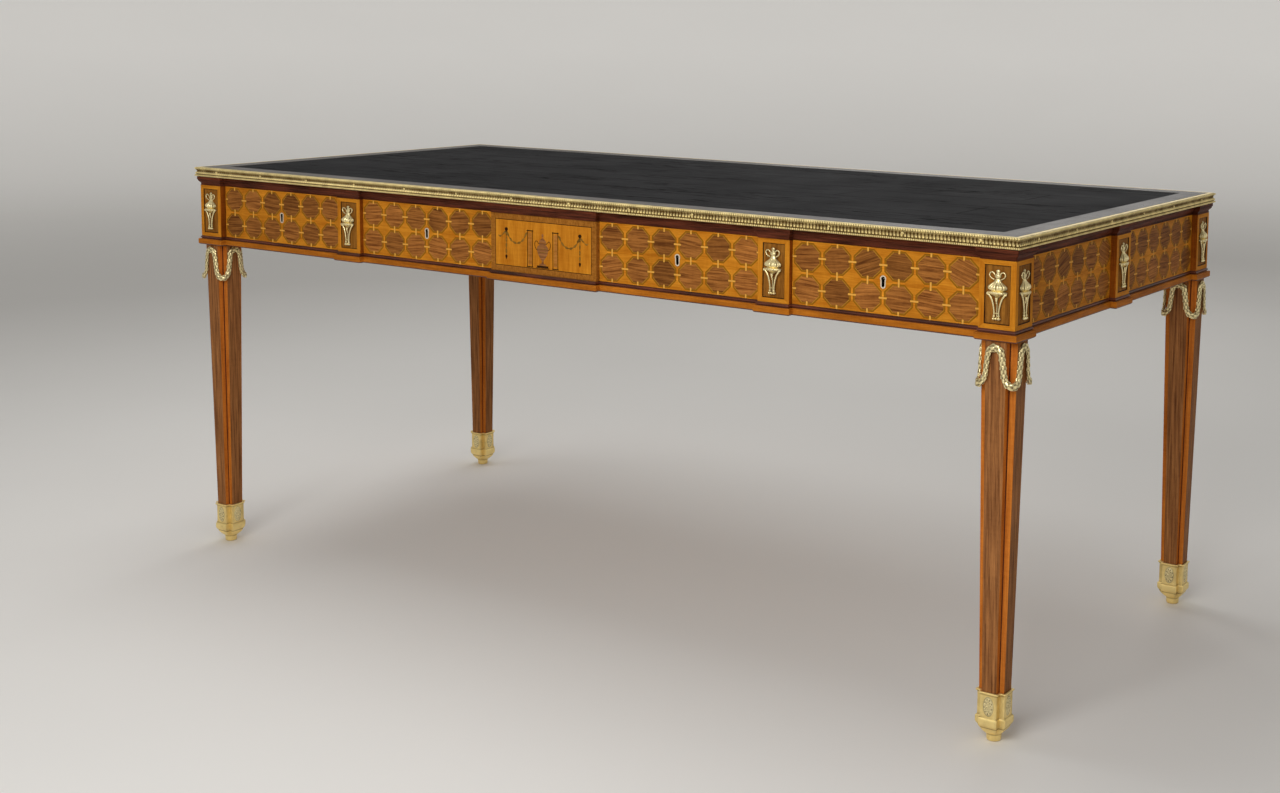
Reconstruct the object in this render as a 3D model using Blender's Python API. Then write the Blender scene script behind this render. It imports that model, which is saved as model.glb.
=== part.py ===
"""Library table: a long writing table on four tapering legs.

The frieze holds four locked drawers between pilasters, a fixed centre panel, and corner blocks
over the legs. The top has a leather writing surface and a bronze edge. Metres, +Z up, with the
origin on the floor under the middle of the table, the front facing -Y and the length along X.
"""

import math

import bmesh
import bpy
from mathutils import Matrix

# Overall size, over the bronze edge of the top
TABLE_LENGTH = 1.830
TABLE_DEPTH = 0.846
TABLE_HEIGHT = 0.780

# Clearances between pieces
FIT = 0.0003
MITRE_GAP = 0.00045
RUN_GAP = 0.0005
SIDE_GAP = 0.0008
FRONT_GAP = 0.0008
SLIDE_GAP = 0.0003

# Top: the board, its leather and its bronze edge
EDGE_HEIGHT = 0.019
EDGE_DEPTH = 0.011
EDGE_TOP_BEAD = 0.0020
EDGE_LOW_BEAD = 0.0016
EDGE_HOLLOW = 0.0042
LEATHER_MARGIN = 0.051
LEATHER_THICKNESS = 0.0018

# Heights of the courses under the top
CORNICE_HEIGHT = 0.017
FRIEZE_HEIGHT = 0.104
FILLET_HEIGHT = 0.006
BAND_HEIGHT = 0.011
BAND_CHAMFER = 0.0015

# How far each course stands back from the bronze edge, and how far the frieze breaks forward
FACE_SETBACK = 0.0115
CORNICE_SETBACK = 0.0040
CORNICE_FOOT_SETBACK = 0.0098
FILLET_SETBACK = 0.0085
BAND_SETBACK = 0.0043
LEG_SETBACK = 0.0093
PROJECTION = 0.0080

# Widths along the frieze
BLOCK_WIDTH = 0.060
PILASTER_WIDTH = 0.060
CENTRE_WIDTH = 0.240

# Sunk panels that carry the bronze mounts
PANEL_SIDE_MARGIN = 0.0097
PANEL_TOP_MARGIN = 0.008
PANEL_FOOT_MARGIN = 0.007
PANEL_SINK = 0.0015

# Boards of the frieze and the drawers
FRIEZE_THICKNESS = 0.020
DRAWER_FRONT_THICKNESS = 0.022
BOX_DEPTH = 0.550
BOX_HEIGHT = 0.078
BOX_SIDE = 0.010
BOX_BACK = 0.010
BOX_BOTTOM = 0.006
GUIDE_HEIGHT = 0.025

# Locks, their bolts and the keyhole linings
LOCK_WIDTH = 0.046
LOCK_WALL = 0.0018
LOCK_BELOW_KEY = 0.016
BOLT_WIDTH = 0.018
BOLT_THICKNESS = 0.004
BOLT_HEIGHT = 0.022
BOLT_SINK = 0.0005
BOLT_CATCH_GAP = 0.0008
KEY_DROP = 0.052
KEY_SOCKET_RADIUS = 0.0022
KEY_SOCKET_DEPTH = 0.004
KEYHOLE_LENGTH = 0.0204
KEYHOLE_EYE_RADIUS = 0.0053
KEYHOLE_SLOT_WIDTH = 0.0090
LINING_WALL = 0.0018
LINING_DEPTH = 0.008

# Legs: square, tapering, with stepped corners, and a tenon up into the corner block
LEG_TOP_WIDTH = 0.0595
LEG_FOOT_WIDTH = 0.0425
LEG_TOP_NOTCH = 0.0123
LEG_FOOT_NOTCH = 0.0090
TENON_WIDTH = 0.034
TENON_NOTCH = 0.004
TENON_REACH = 0.040

# Bronze shoes under the legs
SHOE_HEIGHT = 0.081
SHOE_WALL = 0.0014
SHOE_NOTCH = 0.0088
SHOE_RIM_HEIGHT = 0.0040
SHOE_RIM_FLARE = 0.0024
SHOE_SOCKET_FLOOR = 0.044
SHOE_WAIST = 0.0395
SHOE_MOULDING_HEIGHT = 0.0160
SHOE_MOULDING_FLARE = 0.0026
SHOE_TAPER_HEIGHT = 0.0130
TOE_RADIUS = 0.0115
TOE_SIDES = 24

# Bronze garland round the top of each leg
ROPE_RADIUS = 0.0042
ARCH_ROPE_RADIUS = 0.0044
SWAG_RADIUS = 0.0052
ARCH_RADIUS = 0.0102
GARLAND_TOP_GAP = 0.0010
GARLAND_DROP = 0.073
SWAG_DROP = 0.027
GARLAND_CORNER = 0.012
ROPE_STEPS = 6

# Levels, from the top down
HALF_LENGTH = TABLE_LENGTH / 2
HALF_DEPTH = TABLE_DEPTH / 2
CORNICE_TOP = TABLE_HEIGHT - EDGE_HEIGHT
FRIEZE_TOP = CORNICE_TOP - CORNICE_HEIGHT
FRIEZE_FOOT = FRIEZE_TOP - FRIEZE_HEIGHT
BAND_TOP = FRIEZE_FOOT - FILLET_HEIGHT
LEG_TOP = BAND_TOP - BAND_HEIGHT

# Places along the frieze, measured from the middle of the table
BLOCK_INNER_X = HALF_LENGTH - FACE_SETBACK - BLOCK_WIDTH
BLOCK_INNER_Y = HALF_DEPTH - FACE_SETBACK - BLOCK_WIDTH
BAY_WIDTH = (BLOCK_INNER_X - PILASTER_WIDTH - CENTRE_WIDTH / 2) / 2
PILASTER_INNER = CENTRE_WIDTH / 2 + BAY_WIDTH
PILASTER_OUTER = PILASTER_INNER + PILASTER_WIDTH
INNER_BAY_X = CENTRE_WIDTH / 2 + BAY_WIDTH / 2
OUTER_BAY_X = PILASTER_OUTER + BAY_WIDTH / 2
LEG_X = HALF_LENGTH - LEG_SETBACK - LEG_TOP_WIDTH / 2
LEG_Y = HALF_DEPTH - LEG_SETBACK - LEG_TOP_WIDTH / 2

# Depths from the bronze edge inwards, through a drawer front, its lock and the rail in front of it
RECESS_SETBACK = FACE_SETBACK + PROJECTION
FRONT_BACK = RECESS_SETBACK + DRAWER_FRONT_THICKNESS
LOCK_THICKNESS = BOLT_THICKNESS + 2 * LOCK_WALL + 2 * SLIDE_GAP
LOCK_FACE = FRONT_BACK - LOCK_THICKNESS
RAIL_INNER = LOCK_FACE + LOCK_WALL + SLIDE_GAP - BOLT_CATCH_GAP
FRIEZE_INNER = RECESS_SETBACK + FRIEZE_THICKNESS

# A drawer front and its lock, from the middle of the front's lower edge
DRAWER_WIDTH = BAY_WIDTH - 2 * SIDE_GAP
DRAWER_HEIGHT = FRIEZE_HEIGHT - 2 * FRONT_GAP
KEY_LEVEL = DRAWER_HEIGHT - KEY_DROP
LOCK_HEIGHT = KEY_DROP + LOCK_BELOW_KEY

# Stretches of each side of the frieze that stand back between the projecting pieces
LONG_RECESSES = (
    (-BLOCK_INNER_X, -PILASTER_OUTER),
    (-PILASTER_INNER, -CENTRE_WIDTH / 2),
    (CENTRE_WIDTH / 2, PILASTER_INNER),
    (PILASTER_OUTER, BLOCK_INNER_X),
)
SHORT_RECESSES = (
    (-BLOCK_INNER_Y, -PILASTER_WIDTH / 2),
    (PILASTER_WIDTH / 2, BLOCK_INNER_Y),
)

# Corner of the table, as signs of X and Y, with the turn that brings the near right corner there
CORNERS = {
    "front_right": (1, -1, 0.0),
    "back_right": (1, 1, math.pi / 2),
    "back_left": (-1, 1, math.pi),
    "front_left": (-1, -1, -math.pi / 2),
}

FINISHES = {
    "satinwood": ((0.58, 0.24, 0.045), 0.38, 0.0),
    "parquetry": ((0.24, 0.085, 0.022), 0.38, 0.0),
    "purpleheart": ((0.085, 0.030, 0.018), 0.36, 0.0),
    "rosewood": ((0.15, 0.050, 0.018), 0.36, 0.0),
    "border_wood": ((0.075, 0.060, 0.050), 0.30, 0.0),
    "oak": ((0.33, 0.20, 0.10), 0.60, 0.0),
    "leather": ((0.012, 0.012, 0.013), 0.52, 0.0),
    "gilt_bronze": ((0.72, 0.50, 0.18), 0.28, 1.0),
    "steel": ((0.62, 0.62, 0.60), 0.30, 1.0),
    "brass": ((0.62, 0.46, 0.18), 0.35, 1.0),
}


def clear_scene():
    """Remove whatever the file holds, so the table stands alone."""
    for old in list(bpy.data.objects):
        bpy.data.objects.remove(old, do_unlink=True)


def new_collection(name):
    """A collection under the scene's own."""
    group = bpy.data.collections.new(name)
    bpy.context.scene.collection.children.link(group)
    return group


def finish_material(name):
    """The Principled material of one finish, made once."""
    material = bpy.data.materials.get(name)
    if material is None:
        colour, roughness, metallic = FINISHES[name]
        material = bpy.data.materials.new(name)
        material.use_nodes = True
        shader = material.node_tree.nodes["Principled BSDF"]
        shader.inputs["Base Color"].default_value = (*colour, 1.0)
        shader.inputs["Roughness"].default_value = roughness
        shader.inputs["Metallic"].default_value = metallic
    return material


def place(name, data, finish, location=(0, 0, 0), turn=0.0, parent=None):
    """A named piece of the table, with its finish, turned about Z at its place."""
    piece = bpy.data.objects.new(name, data)
    TABLE.objects.link(piece)
    if not data.materials:
        data.materials.append(finish_material(finish))
    piece.parent = parent
    offset = parent.location if parent else (0, 0, 0)
    piece.location = [a - b for a, b in zip(location, offset)]
    piece.rotation_euler = (0, 0, turn)
    return piece


def settled_mesh(piece):
    """The piece as its modifiers leave it, as a mesh of its own, with its caps welded."""
    graph = bpy.context.evaluated_depsgraph_get()
    mesh = bpy.data.meshes.new_from_object(piece.evaluated_get(graph))
    shape = bmesh.new()
    shape.from_mesh(mesh)
    bmesh.ops.remove_doubles(shape, verts=shape.verts, dist=0.000001)
    shape.to_mesh(mesh)
    shape.free()
    return mesh


def box_mesh(name, low, high):
    """A closed box between two corners."""
    size = [b - a for a, b in zip(low, high)]
    middle = [(a + b) / 2 for a, b in zip(low, high)]
    mesh = bpy.data.meshes.new(name)
    shape = bmesh.new()
    frame = Matrix.Translation(middle) @ Matrix.Diagonal((*size, 1.0))
    bmesh.ops.create_cube(shape, size=1.0, matrix=frame)
    shape.to_mesh(mesh)
    shape.free()
    return mesh


def drum_mesh(name, radius, low, high, sides, axis_turn=None):
    """A closed round drum on Z between two levels, turned afterwards if asked."""
    mesh = bpy.data.meshes.new(name)
    shape = bmesh.new()
    frame = Matrix.Translation((0, 0, (low + high) / 2))
    bmesh.ops.create_cone(
        shape, cap_ends=True, segments=sides, radius1=radius, radius2=radius, depth=high - low, matrix=frame
    )
    if axis_turn is not None:
        bmesh.ops.transform(shape, matrix=axis_turn, verts=shape.verts)
    shape.to_mesh(mesh)
    shape.free()
    return mesh


def loft_mesh(name, sections):
    """A closed skin over sections that all have the same number of points."""
    mesh = bpy.data.meshes.new(name)
    shape = bmesh.new()
    rings = [[shape.verts.new(point) for point in section] for section in sections]
    for lower, upper in zip(rings, rings[1:]):
        for i in range(len(lower)):
            j = (i + 1) % len(lower)
            shape.faces.new((lower[i], lower[j], upper[j], upper[i]))
    shape.faces.new(rings[0])
    shape.faces.new(rings[-1])
    bmesh.ops.recalc_face_normals(shape, faces=shape.faces)
    shape.to_mesh(mesh)
    shape.free()
    return mesh


def outline_mesh(name, outlines, thickness, turn=None):
    """A flat outline, with any inner outlines left open, as a slab centred on its own plane."""
    curve = bpy.data.curves.new(name, "CURVE")
    curve.dimensions = "2D"
    curve.fill_mode = "BOTH"
    curve.extrude = thickness / 2
    for outline in outlines:
        spline = curve.splines.new("POLY")
        spline.points.add(len(outline) - 1)
        for point, (x, y) in zip(spline.points, outline):
            point.co = (x, y, 0, 1)
        spline.use_cyclic_u = True
    holder = bpy.data.objects.new(name, curve)
    CUTTERS.objects.link(holder)
    mesh = settled_mesh(holder)
    bpy.data.objects.remove(holder, do_unlink=True)
    bpy.data.curves.remove(curve)
    if turn is not None:
        mesh.transform(turn)
    return mesh


def cutter(name, mesh):
    """A hidden tool that cuts or joins another piece."""
    tool = bpy.data.objects.new(name, mesh)
    CUTTERS.objects.link(tool)
    tool.hide_render = True
    tool.display_type = "WIRE"
    return tool


def worked_mesh(name, mesh, tools, operation="DIFFERENCE"):
    """The mesh after each tool has cut it, or joined it, in turn."""
    blank = cutter(name + "_blank", mesh)
    for tool in tools:
        step = blank.modifiers.new(tool.name, "BOOLEAN")
        step.operation = operation
        step.object = tool
        step.solver = "EXACT"
    done = settled_mesh(blank)
    bpy.data.objects.remove(blank, do_unlink=True)
    done.name = name
    return done


def scored_mesh(mesh, places):
    """The mesh with a line scored round it at each place along X, where its flat faces end."""
    shape = bmesh.new()
    shape.from_mesh(mesh)
    for place_x in places:
        parts = shape.verts[:] + shape.edges[:] + shape.faces[:]
        bmesh.ops.bisect_plane(shape, geom=parts, plane_co=(place_x, 0, 0), plane_no=(1, 0, 0))
    shape.to_mesh(mesh)
    shape.free()
    return mesh


def arc(cx, cy, rx, ry, start, stop, steps):
    """Points of an elliptical arc, with angles in degrees."""
    angles = [math.radians(start + (stop - start) * i / steps) for i in range(steps + 1)]
    return [(cx + rx * math.cos(a), cy + ry * math.sin(a)) for a in angles]


def side_steps(recesses, setback):
    """Places along one side where the frieze's outline steps, with their depth from the edge."""
    spread = FACE_SETBACK - setback
    steps = []
    for start, stop in recesses:
        steps += [
            (start + spread, setback),
            (start + spread, setback + PROJECTION),
            (stop - spread, setback + PROJECTION),
            (stop - spread, setback),
        ]
    return steps


def breakfront_outline(setback):
    """The table's outline in plan, stepping in between the blocks, pilasters and centre panels."""
    long_side = side_steps(LONG_RECESSES, setback)
    short_side = side_steps(SHORT_RECESSES, setback)
    x, y = HALF_LENGTH - setback, HALF_DEPTH - setback
    outline = [(-x, -y)] + [(s, d - HALF_DEPTH) for s, d in long_side]
    outline += [(x, -y)] + [(HALF_LENGTH - d, s) for s, d in short_side]
    outline += [(x, y)] + [(-s, HALF_DEPTH - d) for s, d in long_side]
    outline += [(-x, y)] + [(d - HALF_LENGTH, -s) for s, d in short_side]
    return outline


def stepped_square(width, notch):
    """A square section whose corners are cut in as small squares."""
    outer, inner = width / 2, width / 2 - notch
    quarter = [(outer, -inner), (outer, inner), (inner, inner)]
    section = []
    for turn in range(4):
        c, s = round(math.cos(turn * math.pi / 2)), round(math.sin(turn * math.pi / 2))
        section += [(c * x - s * y, s * x + c * y) for x, y in quarter]
    return section


def at_level(outline, z):
    """A flat outline lifted to a level."""
    return [(x, y, z) for x, y in outline]


def leg_width(z):
    """The leg's width at a level, on its straight taper from the shoe's rim to the top."""
    share = (z - SHOE_HEIGHT) / (LEG_TOP - SHOE_HEIGHT)
    return LEG_FOOT_WIDTH + (LEG_TOP_WIDTH - LEG_FOOT_WIDTH) * share


def leg_notch(z):
    """The depth of the leg's stepped corners at a level."""
    share = (z - SHOE_HEIGHT) / (LEG_TOP - SHOE_HEIGHT)
    return LEG_FOOT_NOTCH + (LEG_TOP_NOTCH - LEG_FOOT_NOTCH) * share


def leg_section(z, gap=0.0):
    """The leg's section at a level, or that of a socket with a gap round it."""
    return at_level(stepped_square(leg_width(z) + 2 * gap, leg_notch(z)), z)


def tenon_section(z, gap=0.0):
    """The section of the leg's tenon at a level, or that of its mortise."""
    return at_level(stepped_square(TENON_WIDTH + 2 * gap, TENON_NOTCH), z)


def make_top():
    """The top board, sunk for its leather, and the bronze edge in four mitred lengths."""
    board_x = HALF_LENGTH - EDGE_DEPTH - FIT
    board_y = HALF_DEPTH - EDGE_DEPTH - FIT
    leather_x = HALF_LENGTH - LEATHER_MARGIN
    leather_y = HALF_DEPTH - LEATHER_MARGIN
    leather_foot = TABLE_HEIGHT - LEATHER_THICKNESS
    board = box_mesh("top_board", (-board_x, -board_y, CORNICE_TOP), (board_x, board_y, TABLE_HEIGHT))
    sink_low = (-leather_x - FIT, -leather_y - FIT, leather_foot - FIT)
    sink_high = (leather_x + FIT, leather_y + FIT, TABLE_HEIGHT + EDGE_HEIGHT)
    sink = cutter("leather_sink", box_mesh("leather_sink", sink_low, sink_high))
    place("top_board", worked_mesh("top_board", board, [sink]), "border_wood")
    leather_low = (-leather_x, -leather_y, leather_foot)
    leather = box_mesh("leather_panel", leather_low, (leather_x, leather_y, TABLE_HEIGHT))
    place("leather_panel", leather, "leather")

    long_edge = edge_mesh("long_edge", HALF_LENGTH, HALF_DEPTH)
    short_edge = edge_mesh("short_edge", HALF_DEPTH, HALF_LENGTH)
    place("edge_moulding_front", long_edge, "gilt_bronze")
    place("edge_moulding_back", long_edge, "gilt_bronze", turn=math.pi)
    place("edge_moulding_right", short_edge, "gilt_bronze", turn=math.pi / 2)
    place("edge_moulding_left", short_edge, "gilt_bronze", turn=-math.pi / 2)


def edge_profile():
    """The bronze edge in section: depth from the outer line, and level above its foot."""
    low, high = EDGE_LOW_BEAD, EDGE_TOP_BEAD
    hollow_foot, hollow_head = 2 * low, EDGE_HEIGHT - 2 * high
    middle = (hollow_foot + hollow_head) / 2
    profile = [(EDGE_DEPTH, 0.0)]
    profile += [(low - x, z) for x, z in arc(0, low, low, low, -90, 90, 4)]
    hollow = arc(low, middle, EDGE_HOLLOW, (hollow_head - hollow_foot) / 2, -90, 90, 6)
    profile += hollow[1:-1]
    profile += [(high - x, z) for x, z in arc(0, EDGE_HEIGHT - high, high, high, -90, 90, 4)]
    return profile + [(EDGE_DEPTH, EDGE_HEIGHT)]


def edge_mesh(name, half_side, half_across):
    """One length of the bronze edge, lying along X on the -Y side, mitred at both ends."""
    ends = []
    for sign in (-1, 1):
        section = []
        for depth, level in edge_profile():
            x = sign * (half_side - depth - MITRE_GAP)
            section.append((x, depth - half_across, CORNICE_TOP + level))
        ends.append(section)
    return loft_mesh(name, ends)


def make_cornice():
    """The rails under the top, stepping forward over the projecting pieces, mitred at the corners."""
    long_rail = cornice_mesh("long_rail", HALF_LENGTH, HALF_DEPTH, LONG_RECESSES)
    short_rail = cornice_mesh("short_rail", HALF_DEPTH, HALF_LENGTH, SHORT_RECESSES)
    place("cornice_rail_front", long_rail, "purpleheart")
    place("cornice_rail_back", long_rail, "purpleheart", turn=math.pi)
    place("cornice_rail_right", short_rail, "purpleheart", turn=math.pi / 2)
    place("cornice_rail_left", short_rail, "purpleheart", turn=-math.pi / 2)


def cornice_mesh(name, half_side, half_across, recesses):
    """One rail along X on the -Y side, its face sloping in towards the foot."""
    sections = []
    for z, setback in ((FRIEZE_TOP, CORNICE_FOOT_SETBACK), (CORNICE_TOP - FIT, CORNICE_SETBACK)):
        outer, inner = half_side - setback - MITRE_GAP, half_side - RAIL_INNER - MITRE_GAP
        outline = [(-inner, RAIL_INNER - half_across), (-outer, setback - half_across)]
        outline += [(s, d - half_across) for s, d in side_steps(recesses, setback)]
        outline += [(outer, setback - half_across), (inner, RAIL_INNER - half_across)]
        sections.append(at_level(outline, z))
    return loft_mesh(name, sections)


def make_base():
    """The board under the drawers: a dark fillet over a band, pierced for the legs' tenons."""
    courses = (
        (LEG_TOP, BAND_SETBACK + BAND_CHAMFER),
        (LEG_TOP + BAND_CHAMFER, BAND_SETBACK),
        (BAND_TOP, BAND_SETBACK),
        (BAND_TOP, FILLET_SETBACK),
        (FRIEZE_FOOT, FILLET_SETBACK),
    )
    board = loft_mesh("base_board", [at_level(breakfront_outline(setback), z) for z, setback in courses])
    holes = []
    for corner, (side_x, side_y, _) in CORNERS.items():
        hole = [tenon_section(LEG_TOP - BAND_HEIGHT, FIT), tenon_section(FRIEZE_FOOT + BAND_HEIGHT, FIT)]
        tool = cutter("tenon_hole_" + corner, loft_mesh("tenon_hole", hole))
        tool.location = (side_x * LEG_X, side_y * LEG_Y, 0)
        holes.append(tool)
    bpy.context.view_layer.update()
    flat_end = LEG_X - LEG_TOP_WIDTH
    board = scored_mesh(worked_mesh("base_board", board, holes), (-flat_end, flat_end))
    place("base_board", board, "satinwood")


def panel_sink(name, depth_y):
    """A cutter for the sunk panel on a face that looks along -Y at the given depth."""
    half = PILASTER_WIDTH / 2 - PANEL_SIDE_MARGIN
    low = (-half, depth_y - PANEL_SINK, FRIEZE_FOOT + PANEL_FOOT_MARGIN)
    high = (half, depth_y + PANEL_SINK, FRIEZE_TOP - PANEL_TOP_MARGIN)
    return cutter(name, box_mesh(name, low, high))


def make_corner_blocks():
    """The blocks over the legs, each with two sunk panels and a mortise for the tenon."""
    half = BLOCK_WIDTH / 2
    blank = box_mesh("corner_block", (-half, -half, FRIEZE_FOOT + FIT), (half, half, FRIEZE_TOP - FIT))
    inset = half - PANEL_SIDE_MARGIN
    foot, head = FRIEZE_FOOT + PANEL_FOOT_MARGIN, FRIEZE_TOP - PANEL_TOP_MARGIN
    front = box_mesh("block_front_sink", (-inset, -half - PANEL_SINK, foot), (inset, PANEL_SINK - half, head))
    side = box_mesh("block_side_sink", (half - PANEL_SINK, -inset, foot), (half + PANEL_SINK, inset, head))
    mortise_foot = tenon_section(FRIEZE_FOOT - FILLET_HEIGHT, FIT)
    mortise_head = tenon_section(FRIEZE_FOOT + TENON_REACH + FIT, FIT)
    mortise = loft_mesh("block_mortise", [mortise_foot, mortise_head])
    tools = [cutter(mesh.name, mesh) for mesh in (front, side, mortise)]
    block = worked_mesh("corner_block", blank, tools)
    for corner, (side_x, side_y, turn) in CORNERS.items():
        location = (side_x * LEG_X, side_y * LEG_Y, 0)
        place("corner_block_" + corner, block, "satinwood", location, turn)


def make_legs():
    """The tapering legs, from the shoes up to the tenons in the corner blocks."""
    foot = SHOE_SOCKET_FLOOR + FIT
    head = LEG_TOP - FIT
    sections = [
        leg_section(foot),
        leg_section(head),
        tenon_section(head),
        tenon_section(FRIEZE_FOOT + TENON_REACH),
    ]
    leg = loft_mesh("leg", sections)
    for corner, (side_x, side_y, turn) in CORNERS.items():
        place("leg_" + corner, leg, "rosewood", (side_x * LEG_X, side_y * LEG_Y, 0), turn)


def shoe_mesh():
    """A bronze shoe: a rimmed square cup over a moulding, tapering to a round toe."""
    body = leg_width(SHOE_HEIGHT) + 2 * SHOE_WALL
    rim = body + 2 * SHOE_RIM_FLARE
    moulding = body + 2 * SHOE_MOULDING_FLARE
    moulding_foot = SHOE_WAIST - SHOE_MOULDING_HEIGHT
    toe_head = moulding_foot - SHOE_TAPER_HEIGHT
    toe = 2 * TOE_RADIUS * math.cos(math.pi / 4)
    toe_notch = SHOE_NOTCH * toe / body
    rings = (
        (toe_head, toe, toe_notch),
        (moulding_foot, body - SHOE_MOULDING_FLARE, SHOE_NOTCH),
        (moulding_foot + SHOE_MOULDING_HEIGHT / 3, moulding, SHOE_NOTCH),
        (SHOE_WAIST - SHOE_RIM_HEIGHT, moulding, SHOE_NOTCH),
        (SHOE_WAIST, body, SHOE_NOTCH),
        (SHOE_HEIGHT - 2 * SHOE_RIM_HEIGHT, body, SHOE_NOTCH),
        (SHOE_HEIGHT - SHOE_RIM_HEIGHT, rim, SHOE_NOTCH),
        (SHOE_HEIGHT, rim, SHOE_NOTCH),
    )
    cup = loft_mesh("shoe_cup", [at_level(stepped_square(width, notch), z) for z, width, notch in rings])
    toe_tool = cutter("shoe_toe", drum_mesh("shoe_toe", TOE_RADIUS, 0, moulding_foot, TOE_SIDES))
    solid = worked_mesh("shoe_solid", cup, [toe_tool], "UNION")
    socket_sections = [leg_section(SHOE_SOCKET_FLOOR, FIT), leg_section(SHOE_HEIGHT + SHOE_RIM_HEIGHT, FIT)]
    socket = cutter("shoe_socket", loft_mesh("shoe_socket", socket_sections))
    return worked_mesh("shoe", solid, [socket])


def make_shoes():
    """The four bronze shoes."""
    shoe = shoe_mesh()
    for corner, (side_x, side_y, turn) in CORNERS.items():
        place("shoe_" + corner, shoe, "gilt_bronze", (side_x * LEG_X, side_y * LEG_Y, 0), turn)


def garland_quarter():
    """Rope points from the middle of one face to the next: place along the leg, level, radius."""
    head = LEG_TOP - GARLAND_TOP_GAP - ARCH_ROPE_RADIUS
    foot = LEG_TOP - GARLAND_DROP + SWAG_RADIUS
    reach = rope_reach(foot)
    arch = arc(0, head - ARCH_RADIUS, ARCH_RADIUS, ARCH_RADIUS, 90, 0, ROPE_STEPS)
    swag = arc(reach, foot + SWAG_DROP, ARCH_RADIUS - reach, -SWAG_DROP, 0, 90, ROPE_STEPS)
    half = []
    for i, (s, z) in enumerate(arch):
        half.append((s, z, ARCH_ROPE_RADIUS + (ROPE_RADIUS - ARCH_ROPE_RADIUS) * i / ROPE_STEPS))
    for i, (s, z) in enumerate(swag):
        half.append((s, z, ROPE_RADIUS + (SWAG_RADIUS - ROPE_RADIUS) * (i / ROPE_STEPS) ** 4))
    back = [(2 * reach - s, z, radius) for s, z, radius in reversed(half[1:-1])]
    return half + back


def rope_offset(z, radius):
    """How far from the leg's axis the rope's middle lies where it rests on a face."""
    return leg_width(z) / 2 + FIT + radius


def rope_reach(z):
    """The way round the leg from the middle of a face to the middle of a rounded corner."""
    return rope_offset(z, SWAG_RADIUS) - GARLAND_CORNER + GARLAND_CORNER * math.pi / 4


def round_leg(s, z, radius):
    """The place on a rounded square round the leg, s along it from the middle of the -Y face."""
    offset = rope_offset(z, radius)
    straight = offset - GARLAND_CORNER
    total = 2 * rope_reach(LEG_TOP - GARLAND_DROP + SWAG_RADIUS)
    if s <= total / 2:
        along, mirrored = s, False
    else:
        along, mirrored = total - s, True
    if along <= straight:
        x, y = along, -offset
    else:
        angle = min((along - straight) / GARLAND_CORNER, math.pi / 4)
        x = straight + GARLAND_CORNER * math.sin(angle)
        y = -straight - GARLAND_CORNER * math.cos(angle)
    return (-y, -x) if mirrored else (x, y)


def make_garlands():
    """One closed rope of laurel round each leg: an arch on every face, a swag at every corner."""
    curve = bpy.data.curves.new("garland", "CURVE")
    curve.dimensions = "3D"
    curve.bevel_depth = ROPE_RADIUS
    curve.bevel_resolution = 2
    points = []
    for quarter in range(4):
        c, sn = math.cos(quarter * math.pi / 2), math.sin(quarter * math.pi / 2)
        for s, z, radius in garland_quarter():
            x, y = round_leg(s, z, radius)
            points.append((c * x - sn * y, sn * x + c * y, z, radius / ROPE_RADIUS))
    spline = curve.splines.new("POLY")
    spline.points.add(len(points) - 1)
    for point, (x, y, z, swell) in zip(spline.points, points):
        point.co = (x, y, z, 1)
        point.radius = swell
    spline.use_cyclic_u = True
    spline.use_smooth = True
    for corner, (side_x, side_y, turn) in CORNERS.items():
        place("garland_" + corner, curve, "gilt_bronze", (side_x * LEG_X, side_y * LEG_Y, 0), turn)


def make_frieze():
    """The fixed boards of the frieze on the ends and the back, with their raised pilasters."""
    long_board = frieze_mesh("long_board", BLOCK_INNER_X - FIT, HALF_DEPTH, LONG_RECESSES)
    short_board = frieze_mesh("short_board", BLOCK_INNER_Y - FIT, HALF_LENGTH, SHORT_RECESSES)
    pilaster_x = (PILASTER_INNER + PILASTER_OUTER) / 2
    long_sinks = []
    for side, x in (("left", -pilaster_x), ("right", pilaster_x)):
        sink = panel_sink("back_sink_" + side, FACE_SETBACK - HALF_DEPTH)
        sink.location = (x, 0, 0)
        long_sinks.append(sink)
    short_sink = panel_sink("end_sink", FACE_SETBACK - HALF_LENGTH)
    bpy.context.view_layer.update()
    back = worked_mesh("back_frieze", long_board, long_sinks)
    end = worked_mesh("end_frieze", short_board, [short_sink])
    place("back_frieze", back, "parquetry", turn=math.pi)
    place("end_frieze_right", end, "parquetry", turn=math.pi / 2)
    place("end_frieze_left", end, "parquetry", turn=-math.pi / 2)


def frieze_mesh(name, half_side, half_across, recesses):
    """A board along X on the -Y side, thicker where the pilasters and centre panel stand out."""
    inner = FRIEZE_INNER - half_across
    steps = [(s, d - half_across) for s, d in side_steps(recesses, FACE_SETBACK)]
    steps = [(max(-half_side, min(half_side, x)), y) for x, y in steps[1:-1]]
    outline = [(-half_side, inner)] + steps + [(half_side, inner)]
    return loft_mesh(name, [at_level(outline, FRIEZE_FOOT + FIT), at_level(outline, FRIEZE_TOP - FIT)])


def make_front():
    """The fixed pieces of the front: two pilasters and the centre panel between the drawers."""
    face, back = FACE_SETBACK - HALF_DEPTH, FRONT_BACK - HALF_DEPTH
    foot, head = FRIEZE_FOOT + FIT, FRIEZE_TOP - FIT
    half = PILASTER_WIDTH / 2
    sink = panel_sink("pilaster_sink", face)
    blank = box_mesh("pilaster", (-half, face, foot), (half, back, head))
    pilaster = worked_mesh("pilaster", blank, [sink])
    pilaster_x = (PILASTER_INNER + PILASTER_OUTER) / 2
    place("pilaster_left", pilaster, "satinwood", (-pilaster_x, 0, 0))
    place("pilaster_right", pilaster, "satinwood", (pilaster_x, 0, 0))
    centre = CENTRE_WIDTH / 2
    place("centre_panel", box_mesh("centre_panel", (-centre, face, foot), (centre, back, head)), "satinwood")


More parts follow.
